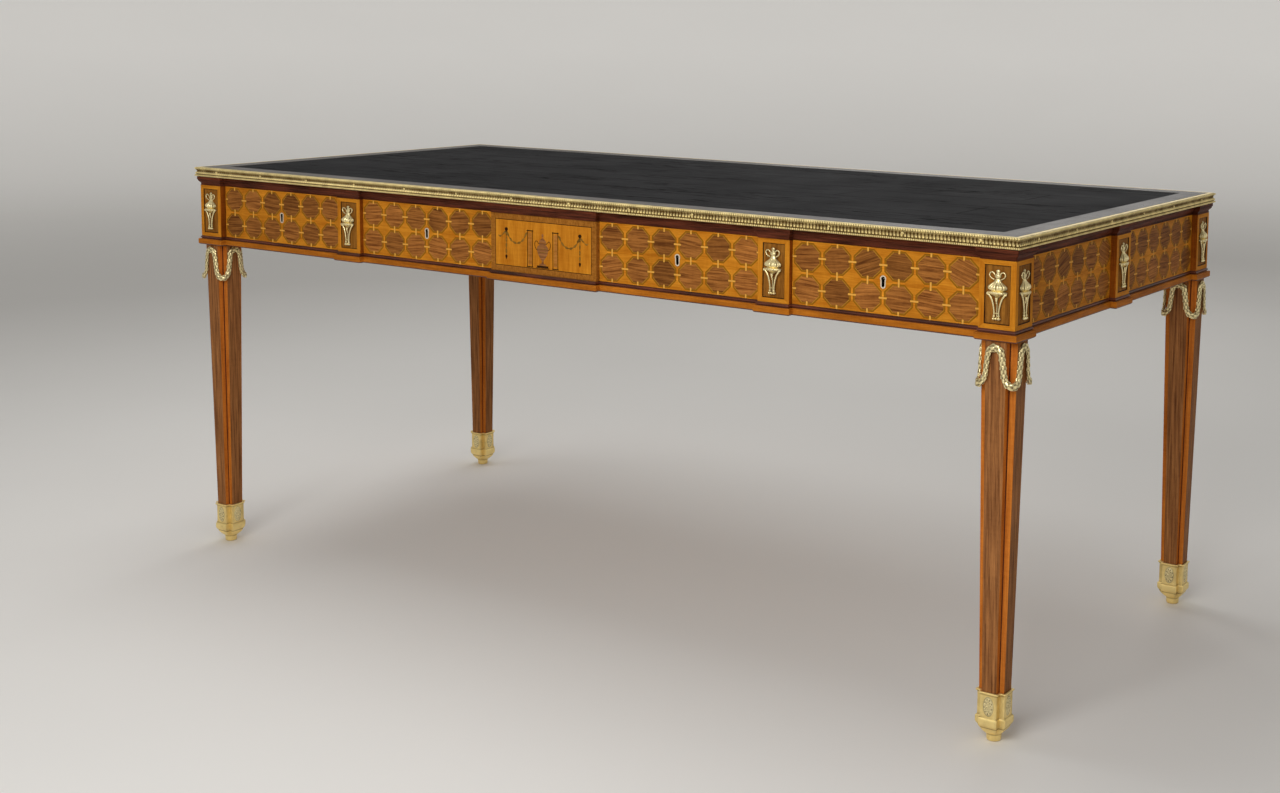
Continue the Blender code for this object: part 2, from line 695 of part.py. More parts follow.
def make_guides():
    """The strips that the drawers run between, fixed on the base board."""
    foot, head = FRIEZE_FOOT + FIT, FRIEZE_FOOT + GUIDE_HEIGHT
    front, back = FRONT_BACK - HALF_DEPTH + FIT, HALF_DEPTH - FRIEZE_INNER - FIT
    end_front, end_back = FIT - BLOCK_INNER_Y, BLOCK_INNER_Y - FIT
    end_outer = HALF_LENGTH - FRIEZE_INNER - FIT
    spans = {
        "drawer_guide_left_end": (-end_outer, -BLOCK_INNER_X, end_front, end_back),
        "drawer_guide_left": (-PILASTER_OUTER, -PILASTER_INNER, front, back),
        "drawer_guide_centre": (-CENTRE_WIDTH / 2, CENTRE_WIDTH / 2, front, back),
        "drawer_guide_right": (PILASTER_INNER, PILASTER_OUTER, front, back),
        "drawer_guide_right_end": (BLOCK_INNER_X, end_outer, end_front, end_back),
    }
    for name, (left, right, near, far) in spans.items():
        place(name, box_mesh(name, (left, near, foot), (right, far, head)), "oak")


def keyhole_outline(spread=0.0):
    """A keyhole, eye up and round at the foot, about its own middle, grown by a spread."""
    eye = KEYHOLE_EYE_RADIUS + spread
    half_slot = KEYHOLE_SLOT_WIDTH / 2 + spread
    eye_y = KEYHOLE_LENGTH / 2 - KEYHOLE_EYE_RADIUS
    foot_y = KEYHOLE_SLOT_WIDTH / 2 - KEYHOLE_LENGTH / 2
    neck = math.degrees(math.asin(half_slot / eye))
    outline = arc(0, eye_y, eye, eye, neck - 90, 270 - neck, 14)
    return outline + arc(0, foot_y, half_slot, half_slot, 180, 360, 6)


def drawer_front_mesh():
    """A drawer front about the middle of its lower edge, cut for its lock and keyhole."""
    half = DRAWER_WIDTH / 2
    thickness = DRAWER_FRONT_THICKNESS
    blank = box_mesh("drawer_front", (-half, 0, 0), (half, thickness, DRAWER_HEIGHT))
    pocket_half = LOCK_WIDTH / 2 + FIT
    pocket_y = thickness - LOCK_THICKNESS - FIT
    pocket_low = (-pocket_half, pocket_y, DRAWER_HEIGHT - LOCK_HEIGHT - FIT)
    pocket_high = (pocket_half, thickness + LOCK_THICKNESS, DRAWER_HEIGHT + LOCK_HEIGHT)
    pocket = cutter("lock_pocket", box_mesh("lock_pocket", pocket_low, pocket_high))
    upright = Matrix.Translation((0, 0, KEY_LEVEL)) @ Matrix.Rotation(math.pi / 2, 4, "X")
    tunnel_depth = 2 * thickness - LOCK_THICKNESS
    tunnel = cutter("key_tunnel", outline_mesh("key_tunnel", [keyhole_outline(FIT)], tunnel_depth, upright))
    return worked_mesh("drawer_front", blank, [pocket, tunnel])


def drawer_box_mesh():
    """A drawer's tray about the same point, open above and closed in front by the drawer front."""
    half = DRAWER_WIDTH / 2
    near = DRAWER_FRONT_THICKNESS + FIT
    far = near + BOX_DEPTH
    lift = RUN_GAP - FRONT_GAP
    blank = box_mesh("drawer_box", (-half, near, lift), (half, far, lift + BOX_HEIGHT))
    inside_low = (BOX_SIDE - half, near - BOX_BACK, lift + BOX_BOTTOM)
    inside_high = (half - BOX_SIDE, far - BOX_BACK, lift + 2 * BOX_HEIGHT)
    inside = cutter("drawer_inside", box_mesh("drawer_inside", inside_low, inside_high))
    return worked_mesh("drawer_box", blank, [inside])


def lock_mesh():
    """A lock case about the same point, with a channel for its bolt and a socket for the key."""
    half = LOCK_WIDTH / 2
    face = DRAWER_FRONT_THICKNESS - LOCK_THICKNESS
    blank = box_mesh(
        "lock", (-half, face, DRAWER_HEIGHT - LOCK_HEIGHT), (half, DRAWER_FRONT_THICKNESS, DRAWER_HEIGHT)
    )
    channel_half = BOLT_WIDTH / 2 + SLIDE_GAP
    channel_foot = DRAWER_HEIGHT - BOLT_SINK - BOLT_HEIGHT - SLIDE_GAP
    channel_low = (-channel_half, face + LOCK_WALL, channel_foot)
    channel_high = (channel_half, DRAWER_FRONT_THICKNESS - LOCK_WALL, DRAWER_HEIGHT + BOLT_HEIGHT)
    channel = cutter("bolt_channel", box_mesh("bolt_channel", channel_low, channel_high))
    turn = Matrix.Translation((0, face, KEY_LEVEL)) @ Matrix.Rotation(math.pi / 2, 4, "X")
    socket_mesh = drum_mesh("key_socket", KEY_SOCKET_RADIUS, -KEY_SOCKET_DEPTH, KEY_SOCKET_DEPTH, 16, turn)
    return worked_mesh("lock", blank, [channel, cutter("key_socket", socket_mesh)])


def bolt_mesh():
    """A lock's bolt about the same point, drawn in."""
    half = BOLT_WIDTH / 2
    near = DRAWER_FRONT_THICKNESS - LOCK_WALL - SLIDE_GAP - BOLT_THICKNESS
    head = DRAWER_HEIGHT - BOLT_SINK
    return box_mesh("lock_bolt", (-half, near, head - BOLT_HEIGHT), (half, near + BOLT_THICKNESS, head))


def lining_mesh():
    """A keyhole lining about the same point, flush with the drawer front's face."""
    upright = Matrix.Translation((0, LINING_DEPTH / 2, KEY_LEVEL)) @ Matrix.Rotation(math.pi / 2, 4, "X")
    outlines = [keyhole_outline(), keyhole_outline(-LINING_WALL)]
    return outline_mesh("keyhole_lining", outlines, LINING_DEPTH, upright)


def make_drawers():
    """Four drawers on their slides, each with a front, a tray, a lock, its bolt and a lining."""
    front, box, lock, bolt = drawer_front_mesh(), drawer_box_mesh(), lock_mesh(), bolt_mesh()
    lining = lining_mesh()
    for number, x in enumerate((-OUTER_BAY_X, -INNER_BAY_X, INNER_BAY_X, OUTER_BAY_X), start=1):
        at = (x, RECESS_SETBACK - HALF_DEPTH, FRIEZE_FOOT + FRONT_GAP)
        slide = bpy.data.objects.new("drawer_slide_%d" % number, None)
        slide.location = at
        TABLE.objects.link(slide)
        place("drawer_front_%d" % number, front, "parquetry", at, parent=slide)
        place("drawer_box_%d" % number, box, "oak", at, parent=slide)
        place("drawer_lock_%d" % number, lock, "brass", at, parent=slide)
        place("lock_bolt_%d" % number, bolt, "steel", at, parent=slide)
        place("keyhole_lining_%d" % number, lining, "steel", at, parent=slide)


clear_scene()
TABLE = new_collection("library_table")
CUTTERS = new_collection("cutters")
make_top()
make_cornice()
make_base()
make_corner_blocks()
make_legs()
make_shoes()
make_garlands()
make_frieze()
make_front()
make_guides()
make_drawers()
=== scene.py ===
"""The looks of a library table: veneers, leather and gilt-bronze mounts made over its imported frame."""

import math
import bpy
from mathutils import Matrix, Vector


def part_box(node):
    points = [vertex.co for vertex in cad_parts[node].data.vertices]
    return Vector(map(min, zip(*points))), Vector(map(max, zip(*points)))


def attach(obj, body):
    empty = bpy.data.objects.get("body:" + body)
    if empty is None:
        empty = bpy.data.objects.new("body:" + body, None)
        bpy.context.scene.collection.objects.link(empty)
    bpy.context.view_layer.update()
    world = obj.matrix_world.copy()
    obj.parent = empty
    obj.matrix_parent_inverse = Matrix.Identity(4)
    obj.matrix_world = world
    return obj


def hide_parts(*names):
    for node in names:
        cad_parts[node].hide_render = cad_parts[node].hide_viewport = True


bl_info = {
    "name": "Library table finish",
    "version": (1, 0, 0),
    "blender": (4, 5, 0),
    "location": "View3D > Sidebar > Library table",
    "description": "Dresses the library table's frame in veneer, leather and gilt bronze",
    "category": "Object",
}

import bmesh
import bpy
import numpy as np
from bpy.props import FloatProperty, FloatVectorProperty, IntProperty, PointerProperty
from mathutils import Matrix

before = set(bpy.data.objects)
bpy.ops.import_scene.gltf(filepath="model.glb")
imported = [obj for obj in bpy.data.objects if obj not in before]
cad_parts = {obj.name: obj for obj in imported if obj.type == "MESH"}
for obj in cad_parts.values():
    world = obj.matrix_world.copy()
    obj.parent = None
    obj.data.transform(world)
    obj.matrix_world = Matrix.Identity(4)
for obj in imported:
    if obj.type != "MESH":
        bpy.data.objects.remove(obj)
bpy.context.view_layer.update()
MM = 0.001


def box_of(node):
    """The lowest and highest corners of one of the frame's nodes, as arrays."""
    low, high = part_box(node)
    return np.array(low), np.array(high)


# Places that the frame gives
SIDES = ("front", "right", "back", "left")
CORNERS = ("front_right", "back_right", "back_left", "front_left")
DRAWERS = (1, 2, 3, 4)
HALF_LENGTH = float(box_of("edge_moulding_right")[1][0])
HALF_DEPTH = float(box_of("edge_moulding_back")[1][1])
EDGE_FOOT = float(box_of("edge_moulding_front")[0][2])
LEATHER_LOW, LEATHER_HIGH = box_of("leather_panel")
CORNICE_LOW, CORNICE_HIGH = box_of("cornice_rail_front")
BASE_LOW, BASE_HIGH = box_of("base_board")
BLOCK_LOW, BLOCK_HIGH = box_of("corner_block_front_right")
PILASTER_LOW, PILASTER_HIGH = box_of("pilaster_right")
CENTRE_LOW, CENTRE_HIGH = box_of("centre_panel")
SHOE_LOW, SHOE_HIGH = box_of("shoe_front_right")
FRIEZE_FOOT, FRIEZE_HEAD = float(BLOCK_LOW[2]), float(BLOCK_HIGH[2])
FACE_SETBACK = HALF_DEPTH + float(BLOCK_LOW[1])
PROJECTION = float(box_of("drawer_front_4")[0][1] - BLOCK_LOW[1])
CORNICE_SETBACK = HALF_DEPTH + float(CORNICE_LOW[1])
BASE_SETBACK = HALF_DEPTH + float(BASE_LOW[1])
LEG_MIDDLE = (SHOE_LOW + SHOE_HIGH)[:2] / 2
LEG_HEAD = float(BASE_LOW[2])
SHOE_HEIGHT = float(SHOE_HIGH[2])
END_PILASTER_HALF = float(PILASTER_HIGH[0] - PILASTER_LOW[0]) / 2
FACE_BACK = float(CENTRE_HIGH[1] + HALF_DEPTH)
LONG_STOPS = (float(CENTRE_HIGH[0]), float(PILASTER_LOW[0]), float(PILASTER_HIGH[0]), float(BLOCK_LOW[0]))
END_STOPS = (END_PILASTER_HALF, -float(BLOCK_HIGH[1]))

# The bronze edge: how far apart its points stand along it, and the gap at its mitres
EDGE_STEP = 0.00066
MITRE_GAP = 0.0003

# Each side's distance from the middle, half its run, and the bays that lie back between its pilasters
SIDE_OUT = (HALF_DEPTH, HALF_LENGTH, HALF_DEPTH, HALF_LENGTH)
SIDE_HALF = (HALF_LENGTH, HALF_DEPTH, HALF_LENGTH, HALF_DEPTH)
LONG_BAYS = (
    (-LONG_STOPS[3], -LONG_STOPS[2]),
    (-LONG_STOPS[1], -LONG_STOPS[0]),
    (LONG_STOPS[0], LONG_STOPS[1]),
    (LONG_STOPS[2], LONG_STOPS[3]),
)
END_BAYS = ((-END_STOPS[1], -END_STOPS[0]), (END_STOPS[0], END_STOPS[1]))
SIDE_BAYS = (LONG_BAYS, END_BAYS, LONG_BAYS, END_BAYS)


def linear(red, green, blue):
    """A colour given as it shows on a screen, 0 to 255, turned to the light values that shaders use."""
    shown = np.array([red, green, blue]) / 255
    light = np.where(shown <= 0.04045, shown / 12.92, ((shown + 0.055) / 1.055) ** 2.4)
    return tuple(float(value) for value in light)


def number(name, description, default, **kind):
    """A property that holds a number."""
    return FloatProperty(name=name, description=description, default=default, **kind)


def length(name, description, default):
    """A property that holds a length in metres."""
    return number(name, description, default, unit="LENGTH", precision=5)


def colour(name, description, *shown):
    """A property that holds a colour, given as it shows on a screen."""
    return FloatVectorProperty(
        name=name, description=description, default=linear(*shown), subtype="COLOR", min=0.0, max=1.0
    )


class TableSizes(bpy.types.PropertyGroup):
    """The sizes of the ornament."""

    upper_bead: length("Upper bead pitch", "From one bead of the edge's upper row to the next", 0.0043)
    lower_bead: length("Lower bead pitch", "From one bead of the edge's lower row to the next", 0.0036)
    flute_pitch: length("Flute pitch", "From one flute of the edge moulding to the next", 0.0062)
    screw_pitch: length("Screw pitch", "From one screw of the edge moulding to the next", 0.135)
    octagon: length("Octagon", "Height of a parquetry octagon across its flats", 0.0412)
    band: length("Band", "Width of the band round an octagon", 0.0029)
    tie_length: length("Tie overlap", "How far a tie bar reaches into an octagon", 0.0017)
    tie_width: length("Tie width", "Width of the bar that ties two octagons", 0.0030)
    line: length("Line", "Width of the dark lines let into the veneer", 0.0006)
    panel_side: length("Panel side margin", "Satinwood beside a sunk panel", 0.0097)
    panel_head: length("Panel head margin", "Satinwood above a sunk panel", 0.0080)
    panel_foot: length("Panel foot margin", "Satinwood below a sunk panel", 0.0082)
    panel_sink: length("Panel sink", "How far a panel lies behind its border", 0.0015)
    crossband: length("Crossband", "Width of the border of the centre panels", 0.0100)
    inlay_rise: length("Inlay rise", "How far the centre panel's inlay stands proud", 0.00015)
    softening: length("Softening", "Width of the rounding on the wooden edges", 0.0004)
    urn_height: length("Urn height", "Height of a bronze urn mount", 0.0755)
    leg_head: length("Leg head", "Width of a leg under the frieze", 0.0595)
    leg_foot: length("Leg foot", "Width of a leg at its shoe's rim", 0.0425)
    leg_head_notch: length("Leg head notch", "Depth of the leg's stepped corners at its head", 0.0123)
    leg_foot_notch: length("Leg foot notch", "Depth of the leg's stepped corners at its foot", 0.0090)
    leaf_pitch: length("Leaf pitch", "From one row of laurel leaves to the next", 0.0062)
    medallion_width: length("Medallion width", "Width of the oval on a shoe", 0.0178)
    medallion_height: length("Medallion height", "Height of the oval on a shoe", 0.0312)
    cells_along: IntProperty(name="Octagons along", description="Octagons along a bay", default=6)
    cells_up: IntProperty(name="Octagons up", description="Rows of octagons in a bay", default=2)


def colour_pairs(table, *tones):
    """Two colour properties for each row of a table: key, name, and how its two tones show on a screen."""
    return {
        f"{key}_{tone}": colour(f"{name} {tone}", f"The {tone} tone of the {name.lower()}", *shown)
        for key, name, *pair in table
        for tone, shown in zip(tones, pair)
    }


class TableColours(bpy.types.PropertyGroup):
    """The colours of the woods, metals and leather; woods and gilding have two tones each."""

    banding: colour("Octagon banding", "Band round each octagon", 142, 94, 20)
    boxwood: colour("Boxwood", "Pale lines and ties", 226, 164, 70)
    ebony: colour("Dark line", "Dark lines between the veneers", 48, 34, 16)
    steel: colour("Steel", "Key hole linings", 244, 232, 208)
    iron: colour("Iron", "Locks", 40, 38, 36)
    leather_light: colour("Leather light", "Worn leather", 52, 52, 53)
    leather_dark: colour("Leather dark", "Leather that keeps its dye", 41, 41, 42)
    leather_mark: colour("Leather marks", "Joins and creases of the leather", 17, 16, 15)
    floor: colour("Floor", "Studio floor", 236, 234, 230)


TableColours.__annotations__.update(colour_pairs((
    ("satin", "Satinwood", (216, 142, 40), (176, 102, 20)),
    ("octagon", "Octagons", (182, 118, 56), (94, 49, 20)),
    ("panel", "Panels behind the mounts", (168, 112, 44), (108, 64, 22)),
    # The returns' tones are satinwood darkened as painted shade, for the sides, tops and feet of blocks and
    # pilasters.
    ("return", "Sides of blocks and pilasters", (166, 90, 24), (114, 54, 12)),
    ("base", "Base moulding", (200, 120, 34), (150, 84, 20)),
    ("band", "Crossband", (178, 116, 44), (132, 78, 24)),
    ("husk", "Inlaid husks", (156, 116, 48), (96, 64, 22)),
    ("purple", "Cornice and fillet", (116, 60, 40), (48, 23, 15)),
    ("rose", "Legs", (184, 124, 72), (92, 52, 30)),
    ("notch", "Legs' stepped corners", (216, 132, 52), (172, 92, 30)),
    # The border's greyish tones are partly painted sheen: the grey of a glancing reflection laid into the
    # wood.
    ("border", "Top's border", (96, 92, 88), (68, 63, 59)),
    ("oak", "Oak of the drawers", (176, 132, 84), (120, 82, 46)),
), "light", "dark"))
TableColours.__annotations__.update(colour_pairs((
    ("bronze", "Gilding of the mounts", (255, 237, 178), (80, 56, 18)),
    ("edge", "Gilding of the top's edge", (255, 233, 164), (92, 64, 16)),
    ("shoe", "Gilding of the shoes", (255, 228, 152), (116, 82, 30)),
), "bright", "deep"))


def tones(colours, key):
    """The two tones of a wood."""
    return getattr(colours, key + "_light"), getattr(colours, key + "_dark")


def gilding(colours, key):
    """The two tones of a gilding."""
    return getattr(colours, key + "_bright"), getattr(colours, key + "_deep")


class TableStage(bpy.types.PropertyGroup):
    """The camera and the light."""

    focal: number("Focal length", "Lens, on a sensor 36 mm wide", 48.90)
    place: FloatVectorProperty(
        name="Camera place", description="Where the camera stands", default=(1.9764, -2.7167, 1.0958),
        subtype="XYZ", unit="LENGTH",
    )
    heading: number("Heading", "Turn of the view to the left of +Y", math.radians(33.682), subtype="ANGLE")
    tilt: number("Tilt", "Fall of the view below level", math.radians(6.718), subtype="ANGLE")
    roll: number("Roll", "Turn about the view", math.radians(0.601), subtype="ANGLE")
    shift: FloatVectorProperty(
        name="Shift", description="Shift of the lens, as a share of the frame's width", size=2,
        default=(-0.0877, -0.1374),
    )
    key: number("Key", "Strength of the key light", 46.0, unit="POWER")
    fill: number("Fill", "Strength of the fill light", 4.0, unit="POWER")
    overhead: number("Overhead", "Strength of the top light", 35.0, unit="POWER")
    rear: number("Rear", "Strength of the rear light", 17.0, unit="POWER")
    backdrop: number("Backdrop", "How much paler the far wall is than the lamps make it", 0.42)
    sky: number("Sky", "Strength of the light all round", 0.27)


# Meshes from whole arrays of points


def grid_quads(rows, columns, closed=False):
    """Corner numbers of the quads of a grid, row by row; closed joins the last column to the first."""
    down, along = np.meshgrid(np.arange(rows - 1), np.arange(columns - (not closed)), indexing="ij")
    beside = (along + 1) % columns
    corners = (down, along), (down, beside), (down + 1, beside), (down + 1, along)
    return np.stack([(row * columns + column).ravel() for row, column in corners], axis=1)


class Shape:
    """Points, faces, flat coordinates, shade and finish numbers that gather into one mesh."""

    def __init__(self):
        self.points, self.flat, self.shade, self.faces, self.finish = [], [], [], [], []
        self.count = 0

    def add(self, points, faces, flat=None, shade=0.0, finish=0):
        """Adds points and faces of equal length that number those points from 0."""
        points = np.asarray(points, float).reshape(-1, 3)
        number = len(points)
        faces = np.atleast_2d(faces)
        self.points.append(points)
        self.flat.append(np.zeros((number, 2)) if flat is None else np.reshape(flat, (number, 2)))
        self.shade.append(np.broadcast_to(np.ravel(shade), (number,)))
        self.faces.append(faces + self.count)
        self.finish.append(np.broadcast_to(finish, (len(faces),)))
        self.count += number

    def surface(self, points, flat=None, shade=0.0, finish=0):
        """Adds a grid of points, rows by columns, as quads."""
        rows, columns = points.shape[:2]
        self.add(points, grid_quads(rows, columns), flat, np.broadcast_to(shade, (rows, columns)), finish)

    def cap(self, loop, flat=None, shade=0.0, finish=0):
        """Adds one flat face with that loop of points as its outline."""
        self.add(loop, np.arange(len(loop)), flat, shade, finish)

    def placed(self, place):
        """A copy whose points have gone through place, a function of three columns of numbers."""
        copy = Shape()
        copy.flat, copy.shade, copy.faces = self.flat, self.shade, self.faces
        copy.finish, copy.count = self.finish, self.count
        copy.points = [place(*points.T) for points in self.points]
        return copy

    def join(self, other):
        """Adds all of another shape."""
        for label in ("points", "flat", "shade", "finish"):
            getattr(self, label).extend(getattr(other, label))
        self.faces += [faces + self.count for faces in other.faces]
        self.count += other.count

    def mesh(self, name, crease):
        """The mesh, with doubled points merged, faces pointing out, and edges past crease kept sharp."""
        mesh = bpy.data.meshes.new(name)
        points = np.concatenate(self.points).astype(np.float32)
        corners = np.concatenate([faces.ravel() for faces in self.faces]).astype(np.int32)
        sizes = np.concatenate([np.full(len(faces), faces.shape[1]) for faces in self.faces])
        starts = np.concatenate([[0], np.cumsum(sizes)[:-1]]).astype(np.int32)
        mesh.vertices.add(len(points))
        mesh.vertices.foreach_set("co", points.ravel())
        mesh.loops.add(len(corners))
        mesh.loops.foreach_set("vertex_index", corners)
        mesh.polygons.add(len(sizes))
        mesh.polygons.foreach_set("loop_start", starts)
        mesh.polygons.foreach_set("material_index", np.concatenate(self.finish).astype(np.int32))
        mesh.update(calc_edges=True)
        flat = np.concatenate(self.flat).astype(np.float32)
        mesh.uv_layers.new(name="UVMap").data.foreach_set("uv", flat[corners].ravel())
        # The 'hollow' attribute carries each point's painted shade: darker in hollows, joints and at the back
        # of forms, partly patina in the hollows.
        shade = mesh.attributes.new("hollow", "FLOAT", "POINT")
        shade.data.foreach_set("value", np.concatenate(self.shade).astype(np.float32))
        work = bmesh.new()
        work.from_mesh(mesh)
        bmesh.ops.remove_doubles(work, verts=work.verts, dist=2e-6)
        bmesh.ops.recalc_face_normals(work, faces=work.faces)
        work.to_mesh(mesh)
        work.free()
        mesh.shade_smooth()
        mesh.set_sharp_from_angle(angle=math.radians(crease))
        return mesh


def stage_object(name, data):
    """A new object in the scene."""
    item = bpy.data.objects.new(name, data)
    bpy.context.scene.collection.objects.link(item)
    return item


def make_piece(name, shape, finishes, slot, replaced=(), body="table", crease=40.0, softened=False):
    """A new piece of the table: its mesh and finishes, the body it rides on and the nodes it stands for."""
    piece = stage_object(name, shape.mesh(name, crease))
    for finish in finishes:
        piece.data.materials.append(finish)
    if softened:
        bevel = piece.modifiers.new("Softened", "BEVEL")
        bevel.width = bpy.context.scene.table_sizes.softening
        bevel.segments = 2
        bevel.limit_method = "ANGLE"
        bevel.angle_limit = math.radians(40)
        bevel.harden_normals = True
    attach(piece, body)
    if replaced:
        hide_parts(*replaced)
    return piece


def refinish(nodes, finish):
    """Gives some of the frame's own nodes a finish."""
    for node in nodes:
        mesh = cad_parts[node].data
        mesh.materials.clear()
        mesh.materials.append(finish)


def on_side(side, along, inset, level):
    """Points along a side from its middle, inset from the table's edge, at a level."""
    along, inset, level = np.broadcast_arrays(along, inset, level)
    out = SIDE_OUT[side] - inset
    x, y = ((along, -out), (out, along), (-along, out), (-out, -along))[side]
    return np.stack([x, y, level], axis=-1)


def closed(grid, axis=0):
    """A grid whose first row or column comes again at its end."""
    return np.concatenate([grid, np.take(grid, [0], axis=axis)], axis=axis)


def rim(grid):
    """The closed line of points round a grid's edge."""
    return np.concatenate([grid[0], grid[1:, -1], grid[-1, -2::-1], grid[-2::-1, 0]])


def raised(rings, level):
    """Rings of (x, y) points with their levels, one for each ring."""
    return np.concatenate([rings, np.broadcast_to(level[:, None, None], (*rings.shape[:2], 1))], axis=-1)


def turned(points, quarter):
    """Points turned about the upright axis by a number of quarter turns."""
    x, y, *rest = np.moveaxis(np.asarray(points, float), -1, 0)
    x, y = ((x, y), (-y, x), (-x, -y), (y, -x))[quarter]
    return np.stack([x, y, *rest], axis=-1)


def rounded(steps):
    """A half circle over each whole step: 0 at the joints and 1 halfway."""
    return np.sqrt(np.clip(1 - (2 * (steps % 1.0) - 1) ** 2, 0, 1))


def smooth_path(points, samples):
    """A curve through points: between two of them, a cubic whose slopes come from their neighbours."""
    points = np.asarray(points, float)
    ends = np.concatenate([[2 * points[0] - points[1]], points, [2 * points[-1] - points[-2]]])
    where = np.linspace(0, len(points) - 1, samples)
    span = np.minimum(where.astype(int), len(points) - 2)
    t = (where - span)[:, None]
    a, b, c, d = (ends[span + step] for step in range(4))
    return 0.5 * (2 * b + (c - a) * t + (2 * a - 5 * b + 4 * c - d) * t**2 + (3 * b - a - 3 * c + d) * t**3)


def tube_points(path, radii, sides):
    """Rings round a path of (along, out, up) points, each square to the path, with poles at its ends."""
    path, radii = np.asarray(path, float), np.asarray(radii, float)
    slope = np.gradient(path, axis=0)
    slope /= np.linalg.norm(slope, axis=1, keepdims=True)
    across = np.cross(slope, (0.0, 1.0, 0.0))
    across /= np.linalg.norm(across, axis=1, keepdims=True)
    outward = np.cross(across, slope)
    angle = np.linspace(0, 2 * math.pi, sides + 1)[None, :, None]
    spread = np.cos(angle) * across[:, None] + np.sin(angle) * outward[:, None]
    rings = path[:, None] + radii[:, None, None] * spread
    first = np.broadcast_to(path[:1, None], rings[:1].shape)
    last = np.broadcast_to(path[-1:, None], rings[:1].shape)
    return np.concatenate([first, rings, last])


def blob_points(middle, radii, lobes=0, depth=0.0):
    """A ball of three radii whose equator swells in lobes, as a grid from pole to pole."""
    polar = np.linspace(0, math.pi, 9)[:, None]
    around = np.linspace(0, 2 * math.pi, 17)[None, :]
    swell = 1 + depth * np.cos(lobes * around) * np.sin(polar)
    ball = [np.sin(polar) * np.cos(around) * swell, np.sin(polar) * np.sin(around) * swell]
    ball.append(np.broadcast_to(np.cos(polar), swell.shape))
    return np.stack([middle[axis] + radii[axis] * ball[axis] for axis in range(3)], axis=-1)


# Shader formulas


class Wire:
    """A node's socket that can stand in a sum, so that a pattern's formula can be read."""

    def __init__(self, tree, socket):
        self.tree, self.socket = tree, socket

    def math(self, operation, *others, clamp=False):
        node = self.tree.nodes.new("ShaderNodeMath")
        node.operation = operation
        node.use_clamp = clamp
        for place, value in enumerate((self, *others)):
            plug(value, node.inputs[place])
        return Wire(self.tree, node.outputs[0])

    def __add__(self, other):
        return self.math("ADD", other)

    def __sub__(self, other):
        return self.math("SUBTRACT", other)

    def __mul__(self, other):
        return self.math("MULTIPLY", other)

    def __truediv__(self, other):
        return self.math("DIVIDE", other)

    def __abs__(self):
        return self.math("ABSOLUTE")

    def most(self, other):
        """The greater of two values."""
        return self.math("MAXIMUM", other)

    def least(self, other):
        """The lesser of two values."""
        return self.math("MINIMUM", other)

    def above(self, level, soft):
        """0 below a level and 1 above it, blended over a soft width."""
        return ((self - level) / soft).math("ADD", 0.5, clamp=True)

    def below(self, level, soft):
        """1 below a level and 0 above it, blended over a soft width."""
        return self.above(level, -soft)

    def parts(self):
        """The three values of a vector."""
        node = self.tree.nodes.new("ShaderNodeSeparateXYZ")
        plug(self, node.inputs[0])
        return [Wire(self.tree, output) for output in node.outputs]

    def spread(self, low, high):
        """The range low to high stretched over 0 to 1."""
        return ((self - low) / (high - low)).math("ADD", 0.0, clamp=True)


def plug(value, socket):
    """Links a wire to a socket, or sets the socket's value."""
    if isinstance(value, Wire):
        value.tree.links.new(value.socket, socket)
    else:
        socket.default_value = value


def vector(tree, x, y, z=0.0):
    """A vector of three values."""
    node = tree.nodes.new("ShaderNodeCombineXYZ")
    for value, socket in zip((x, y, z), node.inputs):
        plug(value, socket)
    return Wire(tree, node.outputs[0])


def noise(tree, place, scale=1.0, detail=3.0, rough=0.55, warp=0.0):
    """Cloudy values from 0 to 1 at a place."""
    node = tree.nodes.new("ShaderNodeTexNoise")
    plug(place, node.inputs["Vector"])
    for label, value in (("Scale", scale), ("Detail", detail), ("Roughness", rough), ("Distortion", warp)):
        node.inputs[label].default_value = value
    return Wire(tree, node.outputs["Fac"])


def dice(tree, place):
    """Three even random values for each whole place."""
    node = tree.nodes.new("ShaderNodeTexWhiteNoise")
    node.noise_dimensions = "3D"
    plug(place, node.inputs["Vector"])
    return Wire(tree, node.outputs["Color"]).parts()


def blend(tree, share, first, second, how="MIX"):
    """A colour between two others, or one laid on the other."""
    node = tree.nodes.new("ShaderNodeMix")
    node.data_type = "RGBA"
    node.blend_type = how
    for value, place in ((share, 0), (opaque(first), 6), (opaque(second), 7)):
        plug(value, node.inputs[place])
    return Wire(tree, node.outputs[2])


def opaque(tone):
    """A colour with its fourth value, where it is given as three numbers."""
    return tone if isinstance(tone, Wire) else (*tone[:3], 1.0)


def tint(tree, base, value):
    """A colour made lighter or darker by a value."""
    grey = tree.nodes.new("ShaderNodeCombineColor")
    for socket in grey.inputs[:3]:
        plug(value, socket)
    return blend(tree, 1.0, base, Wire(tree, grey.outputs[0]), "MULTIPLY")


def object_place(tree):
    """The place on the object, in metres."""
    return Wire(tree, tree.nodes.new("ShaderNodeTexCoord").outputs["Object"])


def flat_place(tree):
    """The place on the piece's own flat map."""
    return Wire(tree, tree.nodes.new("ShaderNodeTexCoord").outputs["UV"])


def painted_shade_value(tree):
    """The painted shade that the mesh carries on each point; in the hollows it stands partly for patina."""
    node = tree.nodes.new("ShaderNodeAttribute")
    node.attribute_name = "hollow"
    return Wire(tree, node.outputs["Fac"])


